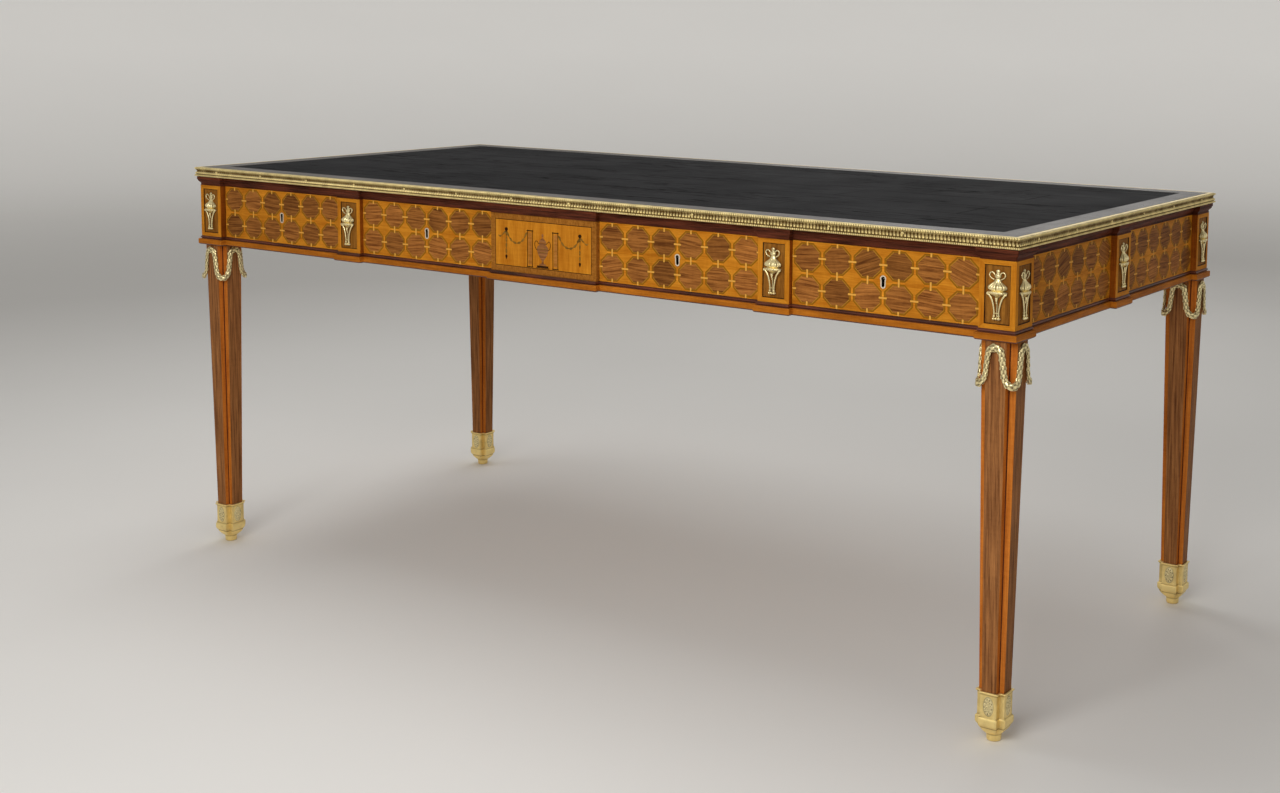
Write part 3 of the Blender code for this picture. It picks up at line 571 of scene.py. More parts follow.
def shader_group(name, inputs, outputs, formula):
    """A shader node group; formula turns the wires of its inputs into those of its outputs."""
    tree = bpy.data.node_groups.new(name, "ShaderNodeTree")
    for label, value in inputs.items():
        kind = "Float" if isinstance(value, float) else "Vector" if value is None else "Color"
        socket = tree.interface.new_socket(label, in_out="INPUT", socket_type="NodeSocket" + kind)
        if value is not None:
            socket.default_value = value if kind == "Float" else opaque(value)
    for label in outputs:
        kind = "Color" if label == "Color" else "Float"
        tree.interface.new_socket(label, in_out="OUTPUT", socket_type="NodeSocket" + kind)
    start, end = tree.nodes.new("NodeGroupInput"), tree.nodes.new("NodeGroupOutput")
    given = {label: Wire(tree, start.outputs[label]) for label in inputs}
    for label, wire in formula(tree, given).items():
        plug(wire, end.inputs[label])
    return tree


def use_group(tree, name, values):
    """Places a node group in a tree and gives the wires of its outputs."""
    node = tree.nodes.new("ShaderNodeGroup")
    node.node_tree = bpy.data.node_groups[name]
    for label, value in values.items():
        plug(value if isinstance(value, (Wire, float)) else opaque(value), node.inputs[label])
    return {output.name: Wire(tree, output) for output in node.outputs}


def surface(name, formula, relief, **fixed):
    """A material: fixed values are set on its shader, and formula gives the wires that vary over it.

    A Height among the wires goes to a Bump node whose full height is relief."""
    material = bpy.data.materials.new(name)
    material.use_nodes = True
    tree = material.node_tree
    shader = tree.nodes["Principled BSDF"]
    for label, value in fixed.items():
        shader.inputs[label.replace("_", " ")].default_value = value
    wires = formula(tree)
    if "Height" in wires:
        bump = tree.nodes.new("ShaderNodeBump")
        bump.inputs["Distance"].default_value = relief
        plug(wires.pop("Height"), bump.inputs["Height"])
        wires["Normal"] = Wire(tree, bump.outputs["Normal"])
    for label, wire in wires.items():
        plug(wire, shader.inputs[label])
    return material


def wood_formula(tree, given):
    """Grain along the place's first axis: broad bands, fine fibres, pores, and ripples across them."""
    along, across, deep = given["Place"].parts()

    def figure(run, width, **look):
        place = vector(tree, along * run, across * width, deep * width)
        return noise(tree, place, **look)

    bands, fibres, stretch = given["Bands"], given["Fibres"], given["Stretch"]
    broad = figure(bands / stretch, bands, detail=4.0, warp=0.15).spread(0.34, 0.66)
    fibre = figure(fibres / (stretch * 5.0), fibres, rough=0.65).spread(0.32, 0.68)
    ripple = figure(230.0, 28.0, detail=1.0).spread(0.3, 0.7)
    pores = figure(90.0, 2600.0, detail=1.0).above(0.66, 0.08) * given["Pores"]
    share = (broad * 0.55 + fibre * 0.45 + (ripple - 0.5) * given["Ripple"]).spread(0.10, 0.90)
    base = blend(tree, share, given["Dark"], given["Light"])
    return {
        "Color": tint(tree, base, pores * -0.45 + 1.0),
        "Roughness": fibre * 0.10 + pores * 0.12 + 0.24,
        "Height": fibre * 0.4 - pores * 0.6 + 0.5,
    }


def polish_formula(tree, given):
    """Smears and a little dust on polish: a roughness that drifts, and a colour a shade duller with it."""
    smear = noise(tree, given["Place"], scale=7.0, detail=5.0, rough=0.6).spread(0.35, 0.75)
    speck = noise(tree, given["Place"], scale=420.0, detail=2.0).above(0.68, 0.1)
    return {
        "Color": tint(tree, given["Color"], smear * -0.10 + 1.04),
        "Roughness": given["Roughness"] + smear * 0.12 + speck * 0.08,
    }


def bronze_formula(tree, given):
    """Gilding bright on high places and dark where the mesh paints shade, with a cloud of wear over it."""
    cloud = noise(tree, given["Place"], scale=55.0, detail=4.0).spread(0.3, 0.7)
    grain = noise(tree, given["Place"], scale=900.0, detail=2.0)
    # Painted shade from the mesh, with the cloud of wear laid over it.
    painted_shade_and_wear = (given["Hollow"] + cloud * 0.35 - 0.18).math("ADD", 0.0, clamp=True)
    return {
        "Color": blend(tree, painted_shade_and_wear, given["Bright"], given["Deep"]),
        "Roughness": painted_shade_and_wear * 0.30 + grain * 0.12 + given["Gloss"],
        "Height": grain * 0.6 + cloud * 0.4,
    }


def parquetry_formula(tree, given):
    """Octagons in rows, tied by bars over a satinwood ground.

    Each cell is measured as a square, so its octagon is drawn out as the cell is. The octagon's edge is
    where the greatest of |x|, |z| and (|x| + |z|) / root 2 reaches its half width. A pale line follows
    that edge where it slants, a band lies outside it with a dark line beyond, the ground is paler between
    two bands, and a bar crosses each side of the cell."""
    u, v, _ = given["Cell"].parts()
    column, row = u.math("FLOOR"), v.math("FLOOR")
    x = (u - column - 0.5) * given["Pitch Z"]
    z = (v - row - 0.5) * given["Pitch Z"]
    out_x, out_z = abs(x), abs(z)
    square = out_x.most(out_z)
    slant = (out_x + out_z) * math.sqrt(0.5)
    edge = square.most(slant) - given["Half width"]
    tone, lean, odd = dice(tree, vector(tree, column, row, 3.0))
    between, _, _ = dice(tree, vector(tree, (u + 0.5).math("FLOOR"), (v + 0.5).math("FLOOR"), 9.0))
    angle = (lean - 0.5) * 0.22 + odd.above(0.92, 0.02) * (lean - 0.5) * 0.7
    turn_c, turn_s = angle.math("COSINE"), angle.math("SINE")
    along = x * turn_c + z * turn_s
    across = z * turn_c - x * turn_s
    leaf = use_group(tree, "Wood figure", {
        "Place": vector(tree, along + tone * 7.0, across + lean * 5.0, odd),
        "Light": given["Leaf light"], "Dark": given["Leaf dark"],
        "Bands": 330.0, "Fibres": 1000.0, "Stretch": 16.0, "Ripple": 0.05, "Pores": 1.0,
    })
    ground = use_group(tree, "Wood figure", {
        "Place": vector(tree, u * given["Pitch X"], v * given["Pitch Z"], between * 0.3),
        "Light": given["Ground light"], "Dark": given["Ground dark"],
        "Bands": 70.0, "Fibres": 700.0, "Stretch": 5.0, "Ripple": 0.08, "Pores": 0.25,
    })
    soft, line, band = given["Soft"], given["Line"], given["Band"]
    crisp = 0.00025
    inside = edge.below(0.0, crisp)
    banded = (edge - band).below(0.0, crisp)
    slanting = (slant - square).above(0.0, 0.0003)
    pale = stripe(edge - line * 0.7, line * 0.5, soft) * (slanting * 0.50 + 0.12)
    dark = stripe(edge - band, line * 0.5, soft)
    inner = stripe(edge, line * 0.3, soft)
    flat_half = (given["Half width"] + band) * math.tan(math.pi / 8)
    between_flats = (out_x.least(out_z) - flat_half).below(0.0, 0.0004)
    reach = given["Half width"] - given["Tie reach"]
    bars = tie_bars(out_x, out_z, given["Tie half"], reach, 0.0)
    rim = tie_bars(out_x, out_z, given["Tie half"], reach, 0.0005)
    leaf_colour = tint(tree, leaf["Color"], tone * 0.62 + 0.70)
    ground_colour = tint(tree, ground["Color"], between * 0.16 + between_flats * 0.16 + 0.92)
    band_colour = tint(tree, given["Banding"], ground["Height"] * 0.4 + tone * 0.15 + 0.75)
    shown = blend(tree, banded, ground_colour, band_colour)
    shown = blend(tree, inside, shown, leaf_colour)
    shown = blend(tree, inner * 0.5, shown, given["Dark line"])
    shown = blend(tree, pale, shown, given["Pale"])
    shown = blend(tree, dark * 0.6, shown, given["Dark line"])
    shown = blend(tree, rim * 0.45, shown, given["Dark line"])
    shown = blend(tree, bars, shown, tint(tree, given["Pale"], ground["Height"] * 0.3 + 0.82))
    return {
        "Color": shown,
        "Roughness": leaf["Roughness"] * inside + ground["Roughness"] * (inside * -1.0 + 1.0),
        "Height": leaf["Height"] * 0.6 - dark * 0.5 - rim * 0.3,
    }


def stripe(distance, half, soft):
    """1 within half a width of the line where the distance is 0, blended to 0 over a soft width."""
    return ((abs(distance) - half) / soft).math("MULTIPLY", -1.0).math("ADD", 0.5, clamp=True)


def tie_bars(out_x, out_z, half, reach, margin):
    """1 on the bars that cross the middles of a cell's four sides, grown by a margin."""
    bars = [
        (across - half).below(margin, 0.0003) * (out - reach).above(-margin, 0.0003)
        for across, out in ((out_z, out_x), (out_x, out_z))
    ]
    return bars[0].most(bars[1])


def parquetry_values(sizes, colours):
    """The sizes and colours of the parquetry, as its group takes them."""
    (leaf_light, leaf_dark), (light, dark) = tones(colours, "octagon"), tones(colours, "satin")
    return {
        "Half width": sizes.octagon / 2, "Band": sizes.band, "Line": sizes.line,
        "Tie reach": sizes.tie_length, "Tie half": sizes.tie_width / 2,
        "Leaf light": leaf_light, "Leaf dark": leaf_dark, "Ground light": light, "Ground dark": dark,
        "Pale": colours.boxwood, "Banding": colours.banding, "Dark line": colours.ebony,
    }


def make_groups(sizes, colours):
    """The effects that several finishes share."""
    light, dark = tones(colours, "satin")
    bright, deep = gilding(colours, "bronze")
    full = ("Color", "Roughness", "Height")
    shader_group("Wood figure", {
        "Place": None, "Light": light, "Dark": dark, "Bands": 60.0, "Fibres": 700.0, "Stretch": 6.0,
        "Ripple": 0.15, "Pores": 0.5,
    }, full, wood_formula)
    polish = {"Place": None, "Color": light, "Roughness": 0.3}
    shader_group("Hand polish", polish, ("Color", "Roughness"), polish_formula)
    bronze = {"Place": None, "Hollow": 0.0, "Bright": bright, "Deep": deep, "Gloss": 0.18}
    shader_group("Bronze age", bronze, full, bronze_formula)
    cell = {"Cell": None, "Pitch X": 0.0554, "Pitch Z": 0.0512, "Soft": 0.0003}
    shader_group("Parquetry", {**cell, **parquetry_values(sizes, colours)}, full, parquetry_formula)


# How the varnish over each kind of wood shines
POLISHED = {"Coat_Weight": 0.03, "Coat_Roughness": 0.16, "Specular_IOR_Level": 0.02}
WAXED = {"Coat_Weight": 0.0, "Specular_IOR_Level": 0.03}
FILLET_GLOSS = {"Coat_Weight": 0.18, "Coat_Roughness": 0.18, "Specular_IOR_Level": 0.30}
BORDER_GLOSS = {"Coat_Weight": 0.01, "Coat_Roughness": 0.24, "Specular_IOR_Level": 0.05}


def polished(tree, figure):
    """The wires of a figured veneer under a hand-rubbed polish."""
    values = {"Place": object_place(tree), "Color": figure["Color"], "Roughness": figure["Roughness"]}
    polish = use_group(tree, "Hand polish", values)
    return {"Base Color": polish["Color"], "Roughness": polish["Roughness"], "Height": figure["Height"]}


def wood_finish(name, light, dark, place=flat_place, gloss=POLISHED, **figure):
    """A polished wood whose grain runs along the first axis of place, a function of the tree.

    What the figure doesn't name keeps the value that its group has."""

    def formula(tree):
        values = {"Place": place(tree), "Light": light, "Dark": dark, **figure}
        return polished(tree, use_group(tree, "Wood figure", values))

    return surface(name, formula, 0.00006, **gloss)


def bronze_finish(name, bright, deep, gloss):
    """Gilt bronze, darker where its mesh paints shade: in hollows, in joints and at the back of forms."""

    def formula(tree):
        age = use_group(tree, "Bronze age", {
            "Place": object_place(tree), "Hollow": painted_shade_value(tree), "Bright": bright, "Deep": deep,
            "Gloss": gloss,
        })
        return {"Base Color": age["Color"], "Roughness": age["Roughness"], "Height": age["Height"]}

    return surface(name, formula, 0.00004, Metallic=0.66)


def plain_metal(name, bright, deep, gloss, metallic, face=None):
    """Bare metal, scratched along the drawer's width, with a film of age, and painted shade behind a face."""

    def formula(tree):
        x, y, z = object_place(tree).parts()
        scratch = noise(tree, vector(tree, x * 60.0, y * 1500.0, z * 1500.0), detail=2.0).spread(0.3, 0.7)
        cloud = noise(tree, object_place(tree), scale=140.0, detail=4.0).spread(0.35, 0.7)
        shown = blend(tree, cloud * 0.35, bright, deep)
        if face is not None:
            # Painted shade: near black inside the key hole, behind the lining's face.
            shown = blend(tree, y.above(face + 0.0008, 0.0008), shown, (0.004, 0.003, 0.002))
        return {
            "Base Color": shown,
            "Roughness": cloud * 0.22 + scratch * 0.10 + gloss,
            "Height": scratch,
        }

    return surface(name, formula, 0.00002, Metallic=metallic)


def parquetry_finish(name, cell, pitch_x, pitch_z, sizes, colours):
    """Polished parquetry whose cells are counted by cell, a function of the tree."""

    def formula(tree):
        values = {"Cell": cell(tree), "Pitch X": pitch_x, "Pitch Z": pitch_z}
        values.update(parquetry_values(sizes, colours))
        return polished(tree, use_group(tree, "Parquetry", values))

    return surface(name, formula, 0.00008, **POLISHED)


def border_place(tree):
    """Grain that runs along each member of the top's border and turns at the mitres."""
    x, y, z = object_place(tree).parts()
    end = ((abs(x) - abs(y)) - (HALF_LENGTH - HALF_DEPTH)).above(0.0, 0.00005)
    side = end * -1.0 + 1.0
    return vector(tree, x * side + y * end, y * side + x * end, z + end * 3.0)


def inward_place(tree):
    """Grain that runs from the front to the back of the object."""
    x, y, z = object_place(tree).parts()
    return vector(tree, y, x, z)


def leather_formula(colours):
    """Black leather: grain, joins between long skins, creases along them and worn lighter clouds."""

    def formula(tree):
        place = object_place(tree)
        x, y, _ = place.parts()
        drift = noise(tree, vector(tree, x * 3.0, y * 3.0), detail=3.0) * 0.016
        brick = tree.nodes.new("ShaderNodeTexBrick")
        brick.offset = 0.37
        for label, value in (
            ("Scale", 1.0), ("Mortar Size", 0.0013), ("Mortar Smooth", 0.4), ("Brick Width", 0.83),
            ("Row Height", 0.124),
        ):
            brick.inputs[label].default_value = value
        plug(vector(tree, x + drift + 0.13, y + drift + 0.06), brick.inputs["Vector"])
        fade = noise(tree, vector(tree, x * 5.0, y * 5.0, 4.0), detail=2.0).spread(0.36, 0.52)
        joins = Wire(tree, brick.outputs["Fac"]) * fade
        crease_place = vector(tree, x * 4.0, (y + drift * 0.6) * 46.0)
        crease = abs(noise(tree, crease_place, detail=3.0) - 0.5).below(0.013, 0.016)
        crease = crease * noise(tree, vector(tree, x * 3.0, y * 9.0, 7.0), detail=2.0).spread(0.44, 0.60)
        wear = noise(tree, place, scale=6.0, detail=6.0, rough=0.65).spread(0.3, 0.75)
        pebble = tree.nodes.new("ShaderNodeTexVoronoi")
        pebble.inputs["Scale"].default_value = 900.0
        plug(place, pebble.inputs["Vector"])
        grain = Wire(tree, pebble.outputs["Distance"])
        marks = joins.most(crease)
        skin = blend(tree, wear, colours.leather_dark, colours.leather_light)
        return {
            "Base Color": blend(tree, marks, skin, colours.leather_mark),
            "Roughness": wear * -0.08 + marks * 0.15 + 0.66,
            "Height": grain * 0.20 - marks * 1.0,
        }

    return formula


# The pieces


def side_columns(side, gap):
    """The columns of a moulding along a side: base place, how each shifts with setback, and its recess.

    A bay's two ends give two columns each, in front of and behind the step; the mitres give the first
    and last columns, which move in with the depth of the point itself."""
    bays = np.array(SIDE_BAYS[side])
    inner = np.stack([bays[:, 0], bays[:, 0], bays[:, 1], bays[:, 1]], axis=1).ravel()
    lean = np.tile([1.0, 1.0, -1.0, -1.0], len(bays))
    back = np.tile([0.0, 1.0, 1.0, 0.0], len(bays))
    half = SIDE_HALF[side] - gap
    place = np.concatenate([[-half], inner, [half]])
    return place, np.concatenate([[0], lean, [0]]), np.concatenate([[0], back, [0]])


def stepped_moulding(side, rows, gap):
    """A section carried along a side that steps back at each bay.

    Each row is (setback, level, follows): the row lies at its setback, plus the projection inside a bay
    where follows is 1, and its steps stand out from the bay's ends by the same amount."""
    setback, level, follows = (np.array(column)[:, None] for column in zip(*rows))
    place, lean, back = side_columns(side, gap)
    depth = setback + PROJECTION * back * follows
    shift = np.where(follows > 0, FACE_SETBACK - setback, FACE_SETBACK - CORNICE_SETBACK)
    along = place + lean * shift
    along[:, 0] += depth[:, 0]
    along[:, -1] -= depth[:, -1]
    return along, depth, np.broadcast_to(level, along.shape)


def cornice_rows():
    """The cornice's section: a square fillet over an ogee, from the top's inner edge round to the foot.

    The ogee goes in by s - sin(2 pi s) / (2 pi) of its reach while it falls by s of its height."""
    fillet, quirk, foot_in, foot_rise = 0.0056, 0.0011, 0.0050, 0.0014
    ogee, ogee_foot, reach = 0.0062, 0.0016, 0.0047
    head, foot = CORNICE_HIGH[2], CORNICE_LOW[2]
    back = HALF_DEPTH + CORNICE_HIGH[1]
    sweep = np.linspace(0, 1, 7)
    ogee_in = CORNICE_SETBACK + quirk + reach * (sweep - np.sin(2 * math.pi * sweep) / (2 * math.pi))
    ogee_z = head - ogee - sweep * (head - ogee - foot - ogee_foot)
    rows = [(back, head, 0.0), (CORNICE_SETBACK, head, 1.0), (CORNICE_SETBACK, head - fillet, 1.0)]
    rows += [(CORNICE_SETBACK + quirk, head - fillet - 0.0002, 1.0)]
    rows += [(float(d), float(z), 1.0) for d, z in zip(ogee_in, ogee_z)]
    rows += [(CORNICE_SETBACK + foot_in, foot + rise, 1.0) for rise in (foot_rise, 0.0)]
    return rows + [(back, foot, 0.0)]


def make_cornice(finish):
    """Four cornice rails: one section carried along each side and round its steps."""
    mitre_gap, back_run, side_drift = 0.00045, 0.02, 2.3
    for side, name in enumerate(SIDES):
        along, depth, level = stepped_moulding(side, cornice_rows(), mitre_gap)
        shape = Shape()
        points = on_side(side, along, depth, level)
        loop = closed(points)
        rise = np.cumsum(np.hypot(np.diff(depth[:, :1], axis=0), np.diff(level[:, :1], axis=0)))
        rise = np.concatenate([[0.0], rise, [rise[-1] + back_run]])[:, None] + np.zeros(loop.shape[1])
        shape.surface(loop, flat=np.stack([closed(along) + side * side_drift, rise], axis=-1))
        for column in (0, -1):
            shape.cap(points[:, column], flat=np.stack([level[:, column], depth[:, column]], axis=-1))
        node = "cornice_rail_" + name
        make_piece("cornice_" + name, shape, [finish], "purpleheart", [node], softened=True)


def ring_loop(setback, level):
    """The table's outline in plan at a setback, round all four sides."""
    sides = []
    for side in range(4):
        along, depth, height = stepped_moulding(side, [(setback, level, 1.0)], 0.0)
        sides.append(on_side(side, along, depth, height)[0, :-1])
    return np.concatenate(sides)


def make_base(fillet, band, underside):
    """The base board: a dark rounded fillet over an orange band with a dark foot, round the outline.

    Each row is its setback, its level and the finish below it."""
    head, foot = float(BASE_HIGH[2]), float(BASE_LOW[2])
    fillet_in, band_height, arris = 0.0042, 0.0112, 0.0007
    inset, step = BASE_SETBACK + fillet_in, foot + band_height
    fillet_rows = (
        (0.8, 0.0), (0.8, 0.6), (-0.1, 0.9), (-0.8, 1.7), (-1.0, 2.7), (-0.7, 3.7), (0.0, 4.4), (0.6, 4.6),
    )
    rows = [(inset + back * MM, head - down * MM, 0) for back, down in fillet_rows]
    rows += [(inset + 0.0006, step, 1), (BASE_SETBACK + arris, step, 1), (BASE_SETBACK, step - arris, 1)]
    foot_rows = ((0.0, 2.0), (0.2, 1.6), (1.6, 0.0))
    rows += [(BASE_SETBACK + back * MM, foot + up * MM, 0) for back, up in foot_rows]
    loops = closed(np.stack([ring_loop(setback, level) for setback, level, _ in rows]), axis=1)
    run = np.cumsum(np.linalg.norm(np.diff(loops[0], axis=0, prepend=loops[0][:1]), axis=1))
    rise = np.array([level - setback for setback, level, _ in rows])
    flat = np.stack(np.broadcast_arrays(run[None, :], rise[:, None]), axis=-1)
    finish = np.repeat([number for _, _, number in rows[:-1]], loops.shape[1] - 1)
    shape = Shape()
    shape.surface(loops, flat=flat, finish=finish)
    for loop in (loops[0, :-1], loops[-1, :-1]):
        shape.cap(loop, flat=loop[:, :2], finish=2)
    make_piece("base_moulding", shape, [fillet, band, underside], "satinwood", ["base_board"])


def edge_rows():
    """The edge moulding's section in millimetres, from its inner top edge round to its inner foot.

    Each row is depth, height, how far a ridge of the hollow carries it out, its painted shade, the
    painted shade that the joints add, then for a bead's row which bead it is, and how far the bead
    carries it out and up."""
    arc = np.radians(np.linspace(90, -90, 5))

    def plain(*rows):
        return [(*row, 0, 0, 0) for row in rows]

    def bead(which, depth, height, out):
        return [(depth, height, 0, 0, 1, which, -out * math.cos(a), 1.7 * math.sin(a)) for a in arc]

    rows = plain((11.0, 18.75, 0, 0.2, 0), (3.7, 18.8, 0, 0.3, 0), (2.9, 18.4, 0, 0.8, 0))
    rows += bead(1, 1.8, 16.7, 1.7)
    rows += plain(
        (3.0, 14.7, 0, 1.0, 0), (2.2, 14.3, 0, 0.35, 0), (2.6, 13.8, -0.2, 0.60, 0.3),
        (3.9, 12.9, -1.0, 0.76, 0.5), (4.7, 11.6, -1.2, 0.80, 0.5), (4.8, 10.4, -1.3, 0.72, 0.5),
        (4.6, 9.5, -1.8, 0.40, 0.8), (4.3, 8.6, -2.8, 0.0, 1.0), (4.0, 7.6, -3.3, 0.0, 1.0),
        (4.0, 6.6, -3.3, 0.0, 1.0), (4.0, 5.8, -2.6, 0.1, 1.0), (3.9, 5.2, -1.2, 1.0, 0.2),
        (3.2, 4.6, 0, 1.2, 0),
    )
    rows += bead(2, 1.7, 2.5, 1.65)
    return rows + plain((2.8, 0.6, 0, 0.7, 0), (11.0, 0.4, 0, 0.5, 0))


def make_edges(finish, sizes):
    """Four edge mouldings: beads, a hollow with ridges that end in tongues, and beads again, mitred.

    A bead is a half circle along the run that carries its rows out from their middle; a ridge is a half
    circle with a flat between, that stands out from the hollow."""
    section = np.array(edge_rows()).T[:, :, None]
    depth, height, ridge, shade, joint_shade, bead, bead_in, bead_up = section
    pitches = sizes.upper_bead, sizes.lower_bead, sizes.flute_pitch
    for side, name in enumerate(SIDES):
        half = SIDE_HALF[side] - MITRE_GAP
        run = np.linspace(0, 1, round(2 * half / EDGE_STEP) + 1)[None, :]
        upper, lower, flute = (rounded(run * round(2 * half / pitch)) for pitch in pitches)
        swell = 0.12 + 0.88 * np.where(bead == 1, upper, lower)
        flute = np.clip(1.7 * flute - 0.7, 0, 1)
        inset = (depth + bead_in * swell + ridge * flute) * MM
        level = EDGE_FOOT + (height + bead_up * swell) * MM
        along = (2 * run - 1) * (half - inset)
        # Painted shade: each row's own shade, darker still at the joints of the beads and between the ridges.
        painted_shade_and_wear = shade + joint_shade * (1 - np.where(bead > 0, swell**2, flute))
        points = on_side(side, along, inset, level)
        shape = Shape()
        shape.surface(closed(points), shade=closed(painted_shade_and_wear))
        shape.cap(points[:, 0])
        shape.cap(points[:, -1])
        replaced = ["edge_moulding_" + name]
        make_piece("bronze_edge_" + name, shape, [finish], "gilt_bronze", replaced, crease=70.0)
        make_screws(side, name, finish, sizes)


def make_screws(side, name, finish, sizes):
    """Slotted screw heads along an edge moulding: a square grid drawn to a disc and raised as a dome."""
    radius, level = 2.3 * MM, EDGE_FOOT + 10.6 * MM
    face, back = 2.7, 4.6
    count = round(2 * SIDE_HALF[side] / sizes.screw_pitch)
    places = ((np.arange(count) + 0.5) / count * 2 - 1) * SIDE_HALF[side]
    u, v = np.meshgrid(np.linspace(-1, 1, 9), np.linspace(-1, 1, 9), indexing="ij")
    disc = np.stack([u * np.sqrt(1 - v**2 / 2), v * np.sqrt(1 - u**2 / 2)], axis=-1)
    from_middle = np.clip(np.sum(disc**2, axis=-1), 0, 1)
    slot = np.exp(-((disc[..., 1] / 0.17) ** 2)) * (from_middle < 0.999)
    rise = (0.9 - 0.55 * slot) * np.sqrt(1 - from_middle)
    shape = Shape()
    for number, place in enumerate(places):
        turn = 0.7 + 1.9 * number
        across = np.array([[math.cos(turn), math.sin(turn)], [-math.sin(turn), math.cos(turn)]])
        spread = radius * disc @ across
        along, up = place + spread[..., 0], level + spread[..., 1]
        # Painted shade: dark along the slot, and fully dark on the wall under the head.
        for inset in (face - rise, np.full_like(rise, back)):
            shape.surface(on_side(side, along, inset * MM, up), shade=slot)
        edge = rim(spread)
        wall = np.array([face, back])[:, None] * MM
        shape.surface(on_side(side, place + edge[:, 0], wall, level + edge[:, 1]), shade=1.0)
    make_piece("edge_screws_" + name, shape, [finish], "gilt_bronze")


def make_leather(finish):
    """The writing leather: a sheet laid in the top, whose face rises and falls by tenths of a millimetre.

    Its level is the sum of long waves whose crests run mostly along the table, faded out at the rim."""
    columns, rows, waves, seed = 300, 132, 18, 11
    x = np.linspace(LEATHER_LOW[0], LEATHER_HIGH[0], columns)[None, :]
    y = np.linspace(LEATHER_LOW[1], LEATHER_HIGH[1], rows)[:, None]
    chance = np.random.default_rng(seed)
    swell = np.zeros((rows, columns))
    for _ in range(waves):
        along, across, phase = chance.uniform(0.5, 7.0), chance.uniform(6.0, 60.0), chance.uniform(0, 6.28)
        swell += np.sin(x * along + y * across + phase + 1.5 * np.sin(x * along * 0.7 + phase)) / waves
    from_rim = np.minimum.reduce(np.broadcast_arrays(
        x - LEATHER_LOW[0], LEATHER_HIGH[0] - x, y - LEATHER_LOW[1], LEATHER_HIGH[1] - y
    ))
    sunk, wave_height, fade_width, rim_drop, drop_width = 0.00025, 0.0007, 0.012, 0.0004, 0.004
    fade, fall = np.clip(from_rim / fade_width, 0, 1), np.clip(1 - from_rim / drop_width, 0, 1)
    level = LEATHER_HIGH[2] - sunk + swell * wave_height * fade - rim_drop * fall
    face = np.stack(np.broadcast_arrays(x, y, level), axis=-1)
    border = rim(face)
    under = border.copy()
    under[:, 2] = LEATHER_LOW[2]
    shape = Shape()
    shape.surface(face)
    shape.surface(np.stack([border, under]))
    shape.cap(under[:-1])
    leather = make_piece("writing_leather", shape, [finish], "leather", ["leather_panel"])


def box_side(low, high, side):
    """A map from along, inset and level on one upright face of a box to points, and its half width."""
    middle, half = (low + high) / 2, (high - low) / 2
    normal = np.array([(0.0, -1.0), (1.0, 0.0), (0.0, 1.0), (-1.0, 0.0)][side])
    tangent = np.array([-normal[1], normal[0]])

    def place(along, inset, level):
        along, inset, level = np.broadcast_arrays(along, inset, level)
        reach = np.abs(half[:2] @ normal) - inset
        flat = middle[:2] + reach[..., None] * normal + along[..., None] * tangent
        return np.concatenate([flat, level[..., None]], axis=-1)

    return place, float(np.abs(half[:2] @ tangent))


def framed_face(shape, low, high, side, rings, strips, field):
    """Rectangles one inside the other on a face of a box, with strips between them round a field.

    Each ring is (side margin, head margin, foot margin, depth). The flat map's first axis runs along each
    member, so the grain turns at the mitres, and up the field."""
    place, half = box_side(low, high, side)
    margin, head, foot, depth = np.array(rings).T[:, :, None]
    left, right = margin - half, half - margin
    bottom, top = low[2] + foot, high[2] - head
    along = np.concatenate([left, right, right, left], axis=1)
    level = np.concatenate([bottom, bottom, top, top], axis=1)
    points = place(along, depth, level)
    drift = np.array([low[0] * 3.1 + low[1] * 5.3, side * 0.7])
    flat = np.stack([along, level], axis=-1) + drift
    quads = grid_quads(len(rings), 4, closed=True)
    corner_flat = flat.reshape(-1, 2)[quads]
    upright = np.arange(len(quads)) % 2 == 1
    corner_flat[upright] = corner_flat[upright][..., ::-1]
    shape.add(
        points.reshape(-1, 3)[quads], np.arange(4 * len(quads)).reshape(-1, 4), corner_flat,
        finish=np.repeat(strips, 4),
    )
    shape.cap(points[-1], flat=flat[-1][:, ::-1], finish=field)


def plain_faces(shape, low, high, skipped, finish):
    """The faces of a box other than the upright ones that are skipped."""
    for side in range(4):
        if side not in skipped:
            framed_face(shape, low, high, side, [(0, 0, 0, 0)], [], finish)
    x, y = np.array([0, 1, 1, 0]), np.array([0, 0, 1, 1])
    ends = np.array([low, high])
    for level in (0, 1):
        loop = np.stack([ends[x, 0], ends[y, 1], np.full(4, ends[level, 2])], axis=-1)
        shape.cap(loop, flat=loop[:, :2], finish=finish)


def sunk_rings(sizes):
    """The rings of a sunk panel: the outer edge, a dark line, and the fall to the panel."""
    margins = np.array([sizes.panel_side, sizes.panel_head, sizes.panel_foot])
    rings = [(0, 0, 0, 0), (*(margins - 1.2 * sizes.line), 0), (*margins, 0)]
    return rings + [(*(margins + 0.0004), sizes.panel_sink)]


def framed_box(name, low, high, faced, rings, finishes, plain, replaced):
    """A piece in the form of a box, with a frame, lines and a field on the sides that are faced.

    The frame has the first finish, what lies between the next rings the second, and the field the third."""
    shape = Shape()
    strips = [0] + [1] * (len(rings) - 2)
    for side in faced:
        framed_face(shape, low, high, side, rings, strips, 2)
    plain_faces(shape, low, high, faced, plain)
    make_piece(name, shape, finishes, "satinwood", replaced, softened=True)


def make_blocks(finishes, sizes):
    """Corner blocks with a sunk panel on both outer faces, and the pilasters between the bays."""
    rings = sunk_rings(sizes)
    for corner, name in enumerate(CORNERS):
        node = "corner_block_" + name
        faced = (corner, (corner + 1) % 4)
        framed_box("block_" + name, *box_of(node), faced, rings, finishes, 3, [node])
    for name in ("pilaster_left", "pilaster_right"):
        framed_box("front_" + name, *box_of(name), (0,), rings, finishes, 3, [name])


